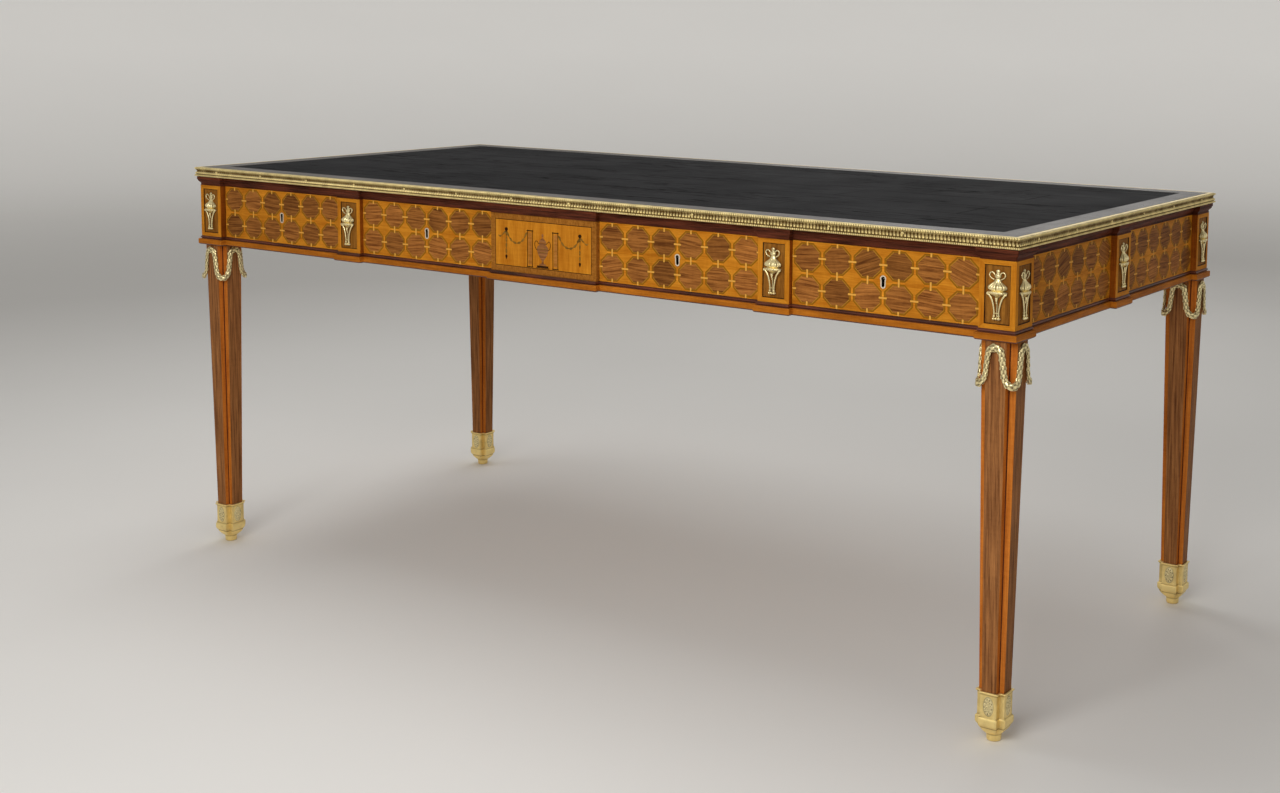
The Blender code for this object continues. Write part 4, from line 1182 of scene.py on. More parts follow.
def side_box(side, start, stop, face):
    """The corners of a box on a side of the table, from its face to the frieze's back."""
    along, depth = np.array([start, stop]), np.array([face, FACE_BACK])
    ends = on_side(side, along, depth, np.array([FRIEZE_FOOT, FRIEZE_HEAD]))
    return ends.min(axis=0), ends.max(axis=0)


def make_end_friezes(finishes, parquetry, sizes):
    """The pilasters of the ends and the back, and the parquetry panels that lie back between them."""
    rings, gap, half = sunk_rings(sizes), 0.0002, END_PILASTER_HALF
    back_place = LONG_STOPS[1] + half
    ends = (("centre", 0.0),)
    places = {1: ends, 2: (("left", -back_place), ("right", back_place)), 3: ends}
    for side, pilasters in places.items():
        replaced = ["back_frieze" if side == 2 else "end_frieze_" + SIDES[side]]
        for label, middle in pilasters:
            low, high = side_box(side, middle - half, middle + half, FACE_SETBACK)
            name = f"{SIDES[side]}_pilaster_{label}"
            framed_box(name, low, high, (side,), rings, finishes, 3, replaced)
            replaced = []
        for number, (start, stop) in enumerate(SIDE_BAYS[side]):
            low, high = side_box(side, start + gap, stop - gap, FACE_SETBACK + PROJECTION)
            make_panel(f"{SIDES[side]}_panel_{number + 1}", low, high, side, parquetry, sizes, number)


def make_panel(name, low, high, side, finishes, sizes, number):
    """A parquetry panel: a box whose outer face counts the pattern's cells on its flat map."""
    place, half = box_side(low, high, side)
    shape = Shape()
    plain_faces(shape, low, high, (side,), 1)
    along, up = np.array([-1, 1, 1, -1]), np.array([0, 0, 1, 1])
    first = sizes.cells_along * (number + 4 * side)
    cells = np.stack([first + (along + 1) / 2 * sizes.cells_along, up * sizes.cells_up], axis=-1)
    shape.cap(place(along * half, 0.0, low[2] + up * (high[2] - low[2])), flat=cells)
    make_piece(name, shape, finishes, "parquetry", softened=True)


def make_centres(finishes, inlays, sizes):
    """The centre panels of the front and back: a crossbanded border, a dark line and a satinwood field."""
    width, line = sizes.crossband, 0.0012
    rings = [(margin, margin, margin, 0) for margin in (0, width, width + line)]
    back = side_box(2, -LONG_STOPS[0], LONG_STOPS[0], FACE_SETBACK)
    framed_box("front_centre_panel", CENTRE_LOW, CENTRE_HIGH, (0,), rings, finishes, 0, ["centre_panel"])
    make_inlay(CENTRE_LOW, CENTRE_HIGH, inlays, sizes)
    framed_box("back_centre_panel", *back, (2,), rings, finishes, 0, [])


def strip_points(path, widths):
    """The two edges of a strip along a path of (along, level) points, as a grid of two columns."""
    path = np.asarray(path, float)
    slope = np.gradient(path, axis=0)
    slope /= np.linalg.norm(slope, axis=1, keepdims=True)
    across = np.stack([-slope[:, 1], slope[:, 0]], axis=1) * np.broadcast_to(widths, len(path))[:, None] / 2
    return np.stack([path - across, path + across], axis=1)


def inlay_plate(shape, grid, rise):
    """A thin plate with that grid of (along, level) points as its face."""
    column = np.ones((*grid.shape[:2], 1))
    layers = [np.concatenate([grid, column * level], axis=-1) for level in (-rise, rise)]
    edge = np.stack([rim(layer) for layer in layers])
    for layer in layers:
        shape.surface(layer, flat=grid)
    shape.surface(edge, flat=edge[..., :2])


def turned_plate(outline, columns=9):
    """A grid across a shape that is the same to the left and right: rows of (half width, level)."""
    half, level = np.asarray(outline, float).T
    share = np.linspace(-1, 1, columns)
    return np.stack(np.broadcast_arrays(half[:, None] * share, level[:, None]), axis=-1)


def make_inlay(low, high, inlays, sizes):
    """The centre panel's inlay: a covered vase on a plinth between two reeded posts, with husk swags.

    Strips follow curves through a few points, and turned outlines are mirrored about their own middle.
    Sizes are in millimetres from the middle of the panel's foot."""
    dark, pale, rose = Shape(), Shape(), Shape()
    rise = sizes.inlay_rise

    def plate(shape, grid, proud=1.0, middle=0.0):
        inlay_plate(shape, (grid + [middle, 0]) * MM, rise * proud)

    def line(shape, points, samples, width):
        plate(shape, strip_points(smooth_path(points, samples), width))

    vase = [(2, 17), (7, 17.2), (7.5, 19), (3, 20.5), (2, 23), (2.4, 26), (6, 30), (10, 36), (12.4, 43)]
    vase += [(12.6, 48), (10, 51.5), (7, 53.5), (8.4, 55), (8.6, 57)]
    lid = [(8.4, 57.6), (7.6, 60), (4.5, 63), (2, 65), (1.2, 67), (2.2, 69), (2.2, 71), (0.3, 73.5)]
    plate(rose, smooth_rows(vase))
    plate(rose, smooth_rows(lid))
    for half, foot, head in ((15, 12.0, 13.2), (13, 13.5, 16.6)):
        plate(dark, turned_plate([(half, foot), (half, head)]))
    for half, level in ((10.8, 40.0), (12.0, 46.0)):
        plate(pale, turned_plate([(half, level), (half, level + 0.9)]), 1.6)
    for sign in (-1, 1):
        post, end = sign * 29.0, sign * 84
        for offset in (-5.6, 5.6):
            line(dark, [(post + offset, level) for level in (12.5, 50, 78)], 6, 1.5)
        for offset in (-2.6, 0.0, 2.6):
            line(rose, [(post + offset, level) for level in (17, 46, 73)], 6, 1.3)
        for level in (12.8, 76.6):
            line(dark, [(post + offset, level) for offset in (-7.4, 0.0, 7.4)], 5, 1.8)
        handle = ((8.4, 55), (14.5, 60), (18.0, 55), (16.0, 47), (12.0, 44))
        line(dark, [(sign * across, level) for across, level in handle], 25, 1.1)
        swag = ((36, 73), (46, 58), (60, 52), (74, 58), (84, 73))
        husk_strip(pale, [(sign * across, level) for across, level in swag], 6, 4.2, rise)
        husk_strip(pale, [(end, level) for level in (73, 58, 44, 30)], 4, 3.8, rise)
        knob = smooth_rows([(0.4, 72.2), (2.6, 73.2), (3.6, 75.5), (2.6, 77.8), (0.4, 78.8)])
        plate(dark, knob, 1.5, end)
        tip = smooth_rows([(0.3, 21.5), (1.8, 25.0), (2.4, 28.0), (0.4, 30.0)])
        plate(dark, tip, 1.0, end)
        tail = ((84, 73), (92, 66), (98, 62), (103, 64))
        husk_strip(pale, [(sign * across, level) for across, level in tail], 2, 3.2, rise)
    place, _ = box_side(low, high, 0)
    wanted = zip(("dark", "pale", "rose"), (dark, pale, rose), inlays, ("rosewood", "satinwood", "rosewood"))
    for label, shape, finish, slot in wanted:
        on_face = shape.placed(lambda along, level, out: place(along, -out, low[2] + level))
        make_piece("centre_inlay_" + label, on_face, [finish], slot)


def smooth_rows(outline):
    """A turned plate whose outline is a curve through its points."""
    return turned_plate(smooth_path(outline, 4 * len(outline)))


def husk_strip(shape, points, husks, width, rise):
    """A string of husks: a strip along a curve whose width swells and nips in from husk to husk."""
    samples = 6 * husks + 1
    path = smooth_path(points, samples)
    steps = np.linspace(0, husks, samples) % 1.0
    swell = 0.22 + 0.78 * np.sin(math.pi * steps**0.7) ** 1.2
    inlay_plate(shape, strip_points(path, width * swell) * MM, rise)


def half_turned(shape, outline, tall, lobes, depth, low, high):
    """Half of a turned form against a wall: out is about half of the radius, and lobes swell a stretch.

    The outline is rows of level, as a share of the height, and radius in millimetres."""
    level, radius = np.array(outline).T[:, :, None]
    turn = np.linspace(0, math.pi, 45)[None, :]
    stretch = np.clip(1 - np.abs(2 * (level - low) / (high - low) - 1) ** 4, 0, 1)
    lobed = stretch * (rounded(turn / math.pi * lobes) - 0.62)
    swollen = radius * (1 + depth * lobed)
    out = 0.56 * swollen * np.sin(turn)
    face = np.stack(np.broadcast_arrays(swollen * np.cos(turn), out, level * tall), axis=-1)
    # Painted shade: darker in the grooves between lobes, at thin necks, and towards the back where the form
    # turns to the wall.
    nipped = (np.abs(np.gradient(radius, axis=0)) < 0.35) * (radius < 6)
    painted_shade_and_wear = np.clip(-lobed * 2.0, 0, 0.90) + 0.4 * nipped + 0.75 * (1 - np.sin(turn)) ** 1.4
    shape.surface(face, shade=np.broadcast_to(painted_shade_and_wear, face.shape[:2]))
    shape.surface(face[:, [0, -1]])


def worn_and_shaded(shape, points):
    """Adds a form of (along, out, up) points, darker towards its back: partly wear, partly painted shade."""
    out = points[..., 1]
    middle, reach = (out.max() + out.min()) / 2, (out.max() - out.min()) / 2
    shape.surface(points, shade=np.clip(0.36 - 0.62 * (out - middle) / reach, 0, 0.85))


def urn_shape(height):
    """A bronze covered urn on a tripod, in relief: (along, out, up) from the middle of its foot.

    The vase and the tray under it are half turned forms, flattened to the wall, with gadroons. Handles,
    legs and scrolls are tubes along curves, and the paws are lobed balls."""
    tall = height / MM
    shape = Shape()

    def tube(path, samples, sides, first, last, shade=None):
        points = tube_points(smooth_path(path, samples), np.linspace(first, last, samples), sides)
        if shade is None:
            worn_and_shaded(shape, points)
        else:
            shape.surface(points, shade=shade)

    def ball(along, out, up, *form):
        worn_and_shaded(shape, blob_points((along, out, tall * up), *form))

    vase = [
        (0.560, 0.0), (0.562, 9.4), (0.576, 10.2), (0.591, 11.9), (0.606, 13.6), (0.622, 14.4), (0.640, 14.6),
        (0.658, 14.2), (0.674, 13.4), (0.690, 12.0), (0.706, 10.4), (0.722, 8.8), (0.740, 7.3), (0.758, 6.1),
        (0.778, 5.1), (0.798, 4.3), (0.814, 3.9), (0.826, 3.9), (0.838, 4.6), (0.850, 5.4), (0.866, 5.9),
        (0.882, 5.6), (0.896, 4.4), (0.906, 3.2), (0.914, 2.5), (0.922, 2.4), (0.932, 2.9), (0.946, 3.3),
        (0.962, 3.4), (0.978, 3.0), (0.990, 1.9), (1.0, 0.0),
    ]
    bowl = [
        (0.430, 0.0), (0.432, 2.2), (0.445, 3.2), (0.462, 4.8), (0.480, 7.2), (0.498, 10.2), (0.514, 13.0),
        (0.528, 14.9), (0.541, 15.8), (0.552, 15.8), (0.561, 14.6), (0.566, 12.0), (0.568, 0.0),
    ]
    half_turned(shape, vase, tall, 8, 0.30, 0.565, 0.76)
    half_turned(shape, bowl, tall, 13, 0.16, 0.45, 0.566)
    handle = ((4.2, 0.900), (6.8, 0.934), (9.6, 0.944), (12.0, 0.922), (12.8, 0.886), (11.6, 0.850))
    handle += ((9.0, 0.822), (5.0, 0.796))
    leg = ((13.8, 0.516), (11.4, 0.478), (8.3, 0.414), (6.1, 0.335), (4.7, 0.250), (3.9, 0.170), (3.7, 0.095))
    curl = np.radians(np.linspace(-200, 130, 18))
    size = np.linspace(2.0, 0.9, 18)
    for sign in (-1, 1):
        tube([(sign * a, 2.0, tall * z) for a, z in handle], 30, 8, 1.0, 0.8)
        ball(sign * 12.7, 2.2, 0.884, (1.2, 1.2, 1.4))
        reach, rise = sign * (14.3 + size * np.cos(curl)), tall * 0.524 + size * np.sin(curl)
        scroll = np.stack([reach, np.full(18, 3.8), rise], axis=-1)
        worn_and_shaded(shape, tube_points(scroll, np.linspace(1.3, 0.7, 18), 8))
        tube([(sign * a, 2.9, tall * z) for a, z in leg], 30, 10, 1.5, 1.05)
        ball(sign * 3.8, 3.0, 0.080, (1.7, 1.9, 2.1), 5, 0.14)
        ball(sign * 4.4, 3.2, 0.029, (2.1, 2.3, 2.2), 6, 0.20)
    tube([(0.0, 3.6, tall * z) for z in (0.450, 0.425, 0.395, 0.365, 0.345)], 16, 10, 2.8, 0.6)
    ball(0.0, 2.6, 0.335, (1.2, 1.2, 1.4))
    # The back leg and the ring take a fixed painted shade.
    tube([(0.0, 1.2, tall * z) for z in (0.36, 0.28, 0.20, 0.10, 0.05)], 14, 8, 1.0, 1.0, 0.3)
    ball(0.0, 3.6, 0.029, (2.0, 2.5, 2.2), 6, 0.20)
    ring = [(-4.6, 1.8, tall * 0.140), (0.0, 3.0, tall * 0.136), (4.6, 1.8, tall * 0.140)]
    tube(ring, 9, 6, 0.7, 0.7, 0.25)
    return shape


def make_urns(finish, sizes):
    """An urn on every sunk panel: two on each corner block and one on each pilaster."""
    urn = urn_shape(sizes.urn_height)
    wall = FACE_SETBACK + sizes.panel_sink
    panel_foot = FRIEZE_FOOT + sizes.panel_foot
    panel_height = FRIEZE_HEAD - sizes.panel_head - panel_foot
    foot = panel_foot + (panel_height - sizes.urn_height) / 2
    long_block, end_block = float(BLOCK_LOW[0] + BLOCK_HIGH[0]) / 2, -float(BLOCK_LOW[1] + BLOCK_HIGH[1]) / 2
    pilaster = float(PILASTER_LOW[0] + PILASTER_HIGH[0]) / 2
    long_places = (-long_block, -pilaster, pilaster, long_block)
    end_places = (-end_block, 0.0, end_block)
    for side, places in enumerate((long_places, end_places, long_places, end_places)):
        for number, middle in enumerate(places):
            placed = urn.placed(
                lambda along, out, up: on_side(side, middle + along * MM, wall - out * MM, foot + up * MM)
            )
            make_piece(f"urn_mount_{SIDES[side]}_{number + 1}", placed, [finish], "gilt_bronze", crease=60.0)


def stepped_outline(width, notch):
    """A square section whose corners are cut in as small squares: its twelve corners, for each width."""
    width, notch = np.broadcast_arrays(width, notch)
    outer, inner = width / 2, width / 2 - notch
    quarter = np.stack([
        np.stack([outer, -inner], -1), np.stack([outer, inner], -1), np.stack([inner, inner], -1)
    ], axis=-2)
    return np.concatenate([turned(quarter, turn) for turn in range(4)], axis=-2)


def corner_middle(corner):
    """The middle of a leg in plan: the frame's front right one, carried to another corner."""
    x, y = LEG_MIDDLE
    return np.array([(x, y), (x, -y), (-x, -y), (-x, y)][corner])


# Cuts across a leg's face and its two notch faces, and the finish of each part between two cuts
# At each notch's inner corner a narrow strip takes the purple wood, as a painted shadow in that corner.
LEG_STRIPS = (((0.0, 1.0), [0]), ((0.0, 0.87, 1.0), [1, 2]), ((0.0, 0.13, 1.0), [2, 1]))


def make_legs(finishes, sizes):
    """Four tapering legs: a stepped square that grows from the shoe's rim to the frieze.

    Each of its twelve faces is a strip of its own, so that the flat map's first axis runs up it."""
    into_shoe, under_frieze, strip_drift, corner_drift = 0.0030, 0.0003, 0.31, 4.7
    level = np.linspace(SHOE_HEIGHT - into_shoe, LEG_HEAD - under_frieze, 9)
    share = (level - SHOE_HEIGHT) / (LEG_HEAD - SHOE_HEIGHT)
    width = sizes.leg_foot + (sizes.leg_head - sizes.leg_foot) * share
    notch = sizes.leg_foot_notch + (sizes.leg_head_notch - sizes.leg_foot_notch) * share
    rings = stepped_outline(width, notch)
    for corner, name in enumerate(CORNERS):
        points = raised(rings + corner_middle(corner), level)
        shape = Shape()
        for strip in range(12):
            first, last = points[:, strip], points[:, (strip + 1) % 12]
            cuts, finish = LEG_STRIPS[strip % 3]
            cut = np.array(cuts)[None, :, None]
            face = first[:, None] * (1 - cut) + last[:, None] * cut
            drift = strip * strip_drift + corner * corner_drift
            across = np.linalg.norm(face - first[:, None], axis=-1) + drift
            flat = np.stack(np.broadcast_arrays(level[:, None], across), axis=-1)
            shape.surface(face, flat=flat, finish=np.tile(finish, len(level) - 1))
        for loop in (points[0], points[-1]):
            shape.cap(loop, flat=loop[:, :2])
        make_piece("veneered_leg_" + name, shape, finishes, "rosewood", ["leg_" + name], softened=True)


# A shoe's width and notch at its cup, in millimetres, and the level of its medallions' middles
SHOE_BODY = 45.3
SHOE_NOTCH = 8.8
MEDALLION_LEVEL = 0.0588


def shoe_rows():
    """The shoe's section in millimetres: level, width, how round it is, and its painted shade."""
    square = (
        (77.6, 43.0, 0.9), (80.5, 43.0, 0.8), (81.0, 44.0, 0.3), (81.0, 48.6, 0.0), (80.6, 49.8, 0.0),
        (79.8, 50.1, 0.0), (79.0, 49.8, 0.0), (78.4, 48.8, 0.1), (77.9, 47.2, 0.4), (77.0, 46.2, 0.5),
        (75.8, 45.6, 0.2), (74.4, SHOE_BODY, 0.1), (43.0, SHOE_BODY, 0.1), (41.6, 45.5, 0.3),
        (40.6, 46.0, 0.5), (40.2, 47.2, 0.2), (39.6, 49.0, 0.0), (38.6, 50.2, 0.0), (37.2, 50.5, 0.0),
        (31.0, 50.5, 0.0), (29.6, 50.2, 0.0), (28.4, 49.0, 0.0), (26.6, 46.6, 0.05), (25.2, 44.4, 0.15),
        (24.4, 43.2, 0.5), (23.8, 42.4, 0.7), (23.2, 42.6, 0.2),
    )
    turning = (
        (22.4, 42.2, 0.03, 0.0), (20.6, 40.4, 0.10, 0.0), (18.2, 37.2, 0.20, 0.0), (15.8, 33.2, 0.35, 0.05),
        (13.6, 29.0, 0.50, 0.1), (12.0, 25.6, 0.75, 0.3),
    )
    toe = (
        (11.0, 23.8, 0.5), (10.4, 23.4, 0.4), (9.8, 23.6, 0.1), (8.8, 23.4, 0.05), (4.0, 23.0, 0.1),
        (1.6, 22.2, 0.1), (0.5, 20.6, 0.2), (0.0, 18.6, 0.4),
    )
    rows = [(level, width, 0, shade) for level, width, shade in square] + list(turning)
    return rows + [(level, width, 1, shade) for level, width, shade in toe]


def make_shoes(finish, chased, sizes):
    """Four bronze shoes: a rimmed cup over a moulding, whose stepped square turns round towards the toe.

    Every ring has the same points, spaced along the twelve faces; a share of each is drawn to a circle."""
    level, width, roundness, painted_shade_and_wear = np.array(shoe_rows()).T
    notch = np.where(level > 40, SHOE_NOTCH, SHOE_NOTCH * width / SHOE_BODY)
    corners = stepped_outline(width, notch)
    steps = np.array([6, 2, 2] * 4)
    start = np.repeat(np.arange(12), steps)
    share = np.concatenate([np.arange(number) / number for number in steps])[None, :, None]
    square = corners[:, start] * (1 - share) + corners[:, (start + 1) % 12] * share
    circle = square / np.linalg.norm(square, axis=-1, keepdims=True) * width[:, None, None] / 2
    rings = raised(square + (circle - square) * roundness[:, None, None], level)
    # Painted shade on the faces of the stepped corners, fading where the section turns round.
    notch_shade = np.where(start % 3 == 0, 0.0, 0.15)[None, :] * (1 - roundness[:, None])
    shade = np.clip(painted_shade_and_wear[:, None] + notch_shade, 0, 1)
    face = SHOE_BODY * MM / 2
    for corner, name in enumerate(CORNERS):
        middle = np.append(corner_middle(corner), 0.0)
        points = rings * MM + middle
        shape = Shape()
        shape.surface(closed(points, axis=1), shade=closed(shade, axis=1))
        # Painted shade: dark on the cap inside the cup, half dark on the sole.
        shape.cap(points[0], shade=0.9)
        shape.cap(points[-1], shade=0.5)
        make_piece("bronze_shoe_" + name, shape, [finish], "gilt_bronze", ["shoe_" + name], crease=50.0)
        medallions = Shape()
        for quarter in range(4):
            medallions.join(medallion_shape(sizes).placed(
                lambda a, out, up: turned(np.stack([a, -face - out, up], axis=-1), quarter) + middle
            ))
        make_piece("shoe_medallions_" + name, medallions, [chased], "gilt_bronze", crease=60.0)


def medallion_shape(sizes):
    """An oval boss of leaves, as a grid of rays: (along, out, up) from the shoe's axis.

    Three pairs of leaves swell along the rays, a net of bumps chases them, and the boss falls to a groove
    at its rim."""
    sunk = -0.0001
    ray = np.linspace(0, 1, 17)[:, None]
    turn = np.linspace(0, 2 * math.pi, 97)[None, :]
    leaf = np.abs(np.cos(3 * turn)) * np.sin(math.pi * ray)
    vein = np.cos(9 * turn + 3 * ray) * np.cos(13 * ray)
    boss = np.clip((0.92 - ray) / 0.12, 0, 1)
    out = (0.12 + boss * (0.50 + 0.40 * leaf + 0.22 * vein + 0.35 * (1 - ray))) * MM
    out = np.where(ray > 0.999, 0.0, out)
    along = ray * np.cos(turn) * sizes.medallion_width / 2
    up = MEDALLION_LEVEL + ray * np.sin(turn) * sizes.medallion_height / 2
    shape = Shape()
    # Painted shade: darker in the troughs of the chased bumps and outside the boss, in its groove.
    shade = np.clip(0.45 - boss * (0.30 + 0.85 * vein), 0, 0.85)
    shape.surface(np.stack([along, out, up], -1), shade=shade)
    shape.surface(np.stack([along, np.full_like(out, sunk), up], -1)[[0, -1]])
    edge = np.stack([np.stack([along[-1], np.full(97, depth), up[-1]], -1) for depth in (0.0, sunk)])
    # The groove's wall takes a painted shade.
    shape.surface(edge, shade=0.6)
    return shape


# A garland's radii, reaches, falls and depths, in millimetres
ROPE = {
    "arch_rope": 7.4, "rope": 5.7, "swag_rope": 7.3, "arch": 11.4, "top_gap": 2.4, "drop": 73.5,
    "swag_drop": 21.0, "lean": 3.4, "corner": 12.0, "bedded": 3.2, "depth": 3.7, "corner_depth": 5.2,
}


def rope_path(sizes, samples):
    """The middle line and radius of a garland round a leg, in millimetres from the leg's axis.

    A quarter runs from the middle of one face to the next: a quarter circle of the arch, a straight fall,
    an elliptical swag to the corner, and the same back up. It is laid round a square with rounded
    corners, closer to the leg than its radius, because its back is flat. The last column is its depth."""
    head_level = LEG_HEAD / MM
    head = head_level - ROPE["top_gap"] - ROPE["arch_rope"]
    foot = head_level - ROPE["drop"] + ROPE["swag_rope"]

    def half_width(level):
        share = (level * MM - SHOE_HEIGHT) / (LEG_HEAD - SHOE_HEIGHT)
        return (sizes.leg_foot + (sizes.leg_head - sizes.leg_foot) * share) / MM / 2

    reach = half_width(foot) + ROPE["bedded"] - ROPE["corner"] * (1 - math.pi / 4)
    start = ROPE["arch"] + ROPE["lean"]
    t = np.linspace(0, 1, samples)
    bend = t * math.pi / 2
    spring, sag = head - ROPE["arch"], foot + ROPE["swag_drop"]
    along = np.concatenate([
        ROPE["arch"] * np.sin(bend), ROPE["arch"] + ROPE["lean"] * t[1:-1],
        reach - (reach - start) * np.cos(bend),
    ])
    level = np.concatenate([
        spring + ROPE["arch"] * np.cos(bend), spring + (sag - spring) * t[1:-1],
        sag - ROPE["swag_drop"] * np.sin(bend),
    ])
    radius = np.concatenate([
        ROPE["arch_rope"] + (ROPE["rope"] - ROPE["arch_rope"]) * t, np.full(samples - 2, ROPE["rope"]),
        ROPE["rope"] + (ROPE["swag_rope"] - ROPE["rope"]) * t**2,
    ])
    walked = np.concatenate([[0.0], np.cumsum(np.hypot(np.diff(along), np.diff(level)))])
    even = np.linspace(0, walked[-1], 2 * samples)
    along, level, radius = (np.interp(even, walked, values) for values in (along, level, radius))
    offset = half_width(level) + ROPE["bedded"]
    straight = offset - ROPE["corner"]
    angle = np.clip((along - straight) / ROPE["corner"], 0, math.pi / 4)
    x = np.minimum(along, straight) + ROPE["corner"] * np.sin(angle)
    y = -straight - ROPE["corner"] * np.cos(angle)
    half = np.stack([x, y, level], axis=-1)
    mirrored = np.stack([-y, -x, level], axis=-1)[-2:0:-1]
    quarter = np.concatenate([half, mirrored])
    depth = ROPE["depth"] + (ROPE["corner_depth"] - ROPE["depth"]) * angle / (math.pi / 4)
    swell, depth = (np.concatenate([values, values[-2:0:-1]]) for values in (radius, depth))
    rope = np.concatenate([turned(quarter, turn) for turn in range(4)])
    return rope * MM, np.tile(swell, 4) * MM, np.tile(depth, 4) * MM


def make_garlands(finish, sizes):
    """Four ropes of laurel: a tube round each leg whose skin is rows of lapping leaves.

    A leaf rises from its stem to its tip along the rope and narrows towards the tip; each row is half a
    leaf round from the last."""
    per_row, sides, leaves_round = 7, 24, 4
    rope, radius, depth = rope_path(sizes, 72)
    step = np.linalg.norm(np.roll(rope, -1, axis=0) - rope, axis=1)
    walked = np.concatenate([[0.0], np.cumsum(step)])
    rows = round(walked[-1] / sizes.leaf_pitch / 8) * 8
    samples = per_row * rows
    even = np.linspace(0, walked[-1], samples, endpoint=False)
    path = np.stack([np.interp(even, walked, closed(column)) for column in rope.T], axis=-1)
    thick, deep = (np.interp(even, walked, closed(values))[:, None] for values in (radius, depth))
    slope = np.roll(path, -2, axis=0) - np.roll(path, 2, axis=0)
    slope /= np.linalg.norm(slope, axis=1, keepdims=True)
    outward = path * [1.0, 1.0, 0.0]
    outward -= np.sum(outward * slope, axis=1, keepdims=True) * slope
    outward /= np.linalg.norm(outward, axis=1, keepdims=True)
    across = np.cross(slope, outward)
    turn = np.arange(sides)[None, :] / sides
    position = (np.arange(samples) / per_row)[:, None]
    towards_tip = position % 1.0
    around = np.abs(2 * ((turn * leaves_round + 0.5 * (np.floor(position) % 2)) % 1.0) - 1)
    half_leaf = 1.02 - 0.72 * towards_tip**1.5
    leaf = np.clip(1 - (around / half_leaf) ** 2, 0, 1) * (0.35 + 0.65 * towards_tip)
    vein = 0.12 * np.exp(-((around / 0.12) ** 2))
    skin = 0.66 + 0.42 * (leaf - vein)
    angle = 2 * math.pi * turn
    proud = np.maximum(deep * skin * np.cos(angle), -(ROPE["bedded"] - 0.1) * MM)
    tube = path[:, None] + proud[..., None] * outward[:, None]
    tube = tube + (thick * skin * np.sin(angle))[..., None] * across[:, None]
    # Painted shade: dark between the leaves and along their veins, bright on the leaves' faces.
    shade = np.clip(0.82 - 1.75 * leaf + vein * 1.6, 0, 0.95)
    tube, shade = (closed(closed(grid), axis=1) for grid in (tube, shade))
    for corner, name in enumerate(CORNERS):
        shape = Shape()
        shape.surface(tube + np.append(corner_middle(corner), 0.0), shade=shade)
        make_piece("laurel_garland_" + name, shape, [finish], "gilt_bronze", ["garland_" + name], crease=80.0)


def finish_drawers(sizes, colours):
    """Gives each drawer its parquetry, counted from its own corner, and its inside and lock their finish."""
    for number in DRAWERS:
        low, high = (corner.tolist() for corner in box_of(f"drawer_front_{number}"))
        pitch_x, pitch_z = (high[0] - low[0]) / sizes.cells_along, (high[2] - low[2]) / sizes.cells_up

        def cell(tree):
            x, _, z = object_place(tree).parts()
            return vector(tree, (x - low[0]) / pitch_x + 6.0 * number, (z - low[2]) / pitch_z)

        name = f"Drawer parquetry {number}"
        refinish([f"drawer_front_{number}"], parquetry_finish(name, cell, pitch_x, pitch_z, sizes, colours))
    grain = {"Bands": 45.0, "Stretch": 9.0, "Ripple": 0.05, "Pores": 0.9}
    oak = wood_finish("Oak", *tones(colours, "oak"), inward_place, **grain)
    lining_face = float(box_of("keyhole_lining_1")[0][1])
    steel = (colours.steel, colours.oak_light, 0.30, 0.35)
    inside = {
        "drawer_box": oak,
        "keyhole_lining": plain_metal("Polished steel", *steel, lining_face),
        "drawer_lock": plain_metal("Lock iron", colours.iron, colours.ebony, 0.38, 1.0),
        "lock_bolt": plain_metal("Bolt brass", *gilding(colours, "bronze"), 0.24, 1.0),
    }
    for label, finish in inside.items():
        refinish([f"{label}_{number}" for number in DRAWERS], finish)
    refinish([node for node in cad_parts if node.startswith("drawer_guide")], oak)
    pin_metal = plain_metal("Pin steel", *steel)
    for number in DRAWERS:
        make_pin(number, pin_metal)


def make_pin(number, finish):
    """The pin that a drawer's hollow key turns on: a ball drawn out from the lock to the eye of its hole."""
    radius, behind_face, into_lock = 0.0012, 0.0014, 0.0005
    low, high = box_of(f"keyhole_lining_{number}")
    front = low[1] + behind_face
    back = box_of(f"drawer_lock_{number}")[0][1] + into_lock
    eye = high[2] - (high[0] - low[0]) / 2
    middle = ((low[0] + high[0]) / 2, (front + back) / 2, eye)
    shape = Shape()
    shape.surface(blob_points(middle, (radius, (back - front) / 2, radius)))
    make_piece(f"lock_pin_{number}", shape, [finish], "steel", body=f"drawer_{number}")


def soft_light(name, place, aim, width, height, power):
    """A large lamp that faces a point."""
    lamp = bpy.data.lights.new(name, "AREA")
    lamp.shape = "RECTANGLE"
    lamp.size, lamp.size_y = width, height
    lamp.energy = power
    light = stage_object(name, lamp)
    back = np.array(place) - np.array(aim)
    back = back / np.linalg.norm(back)
    right = np.cross((0.0, 0.0, 1.0), back)
    right = right / np.linalg.norm(right)
    turn = np.stack([right, np.cross(back, right), back], axis=1)
    light.matrix_world = Matrix.Translation(place) @ Matrix(turn.tolist()).to_4x4()


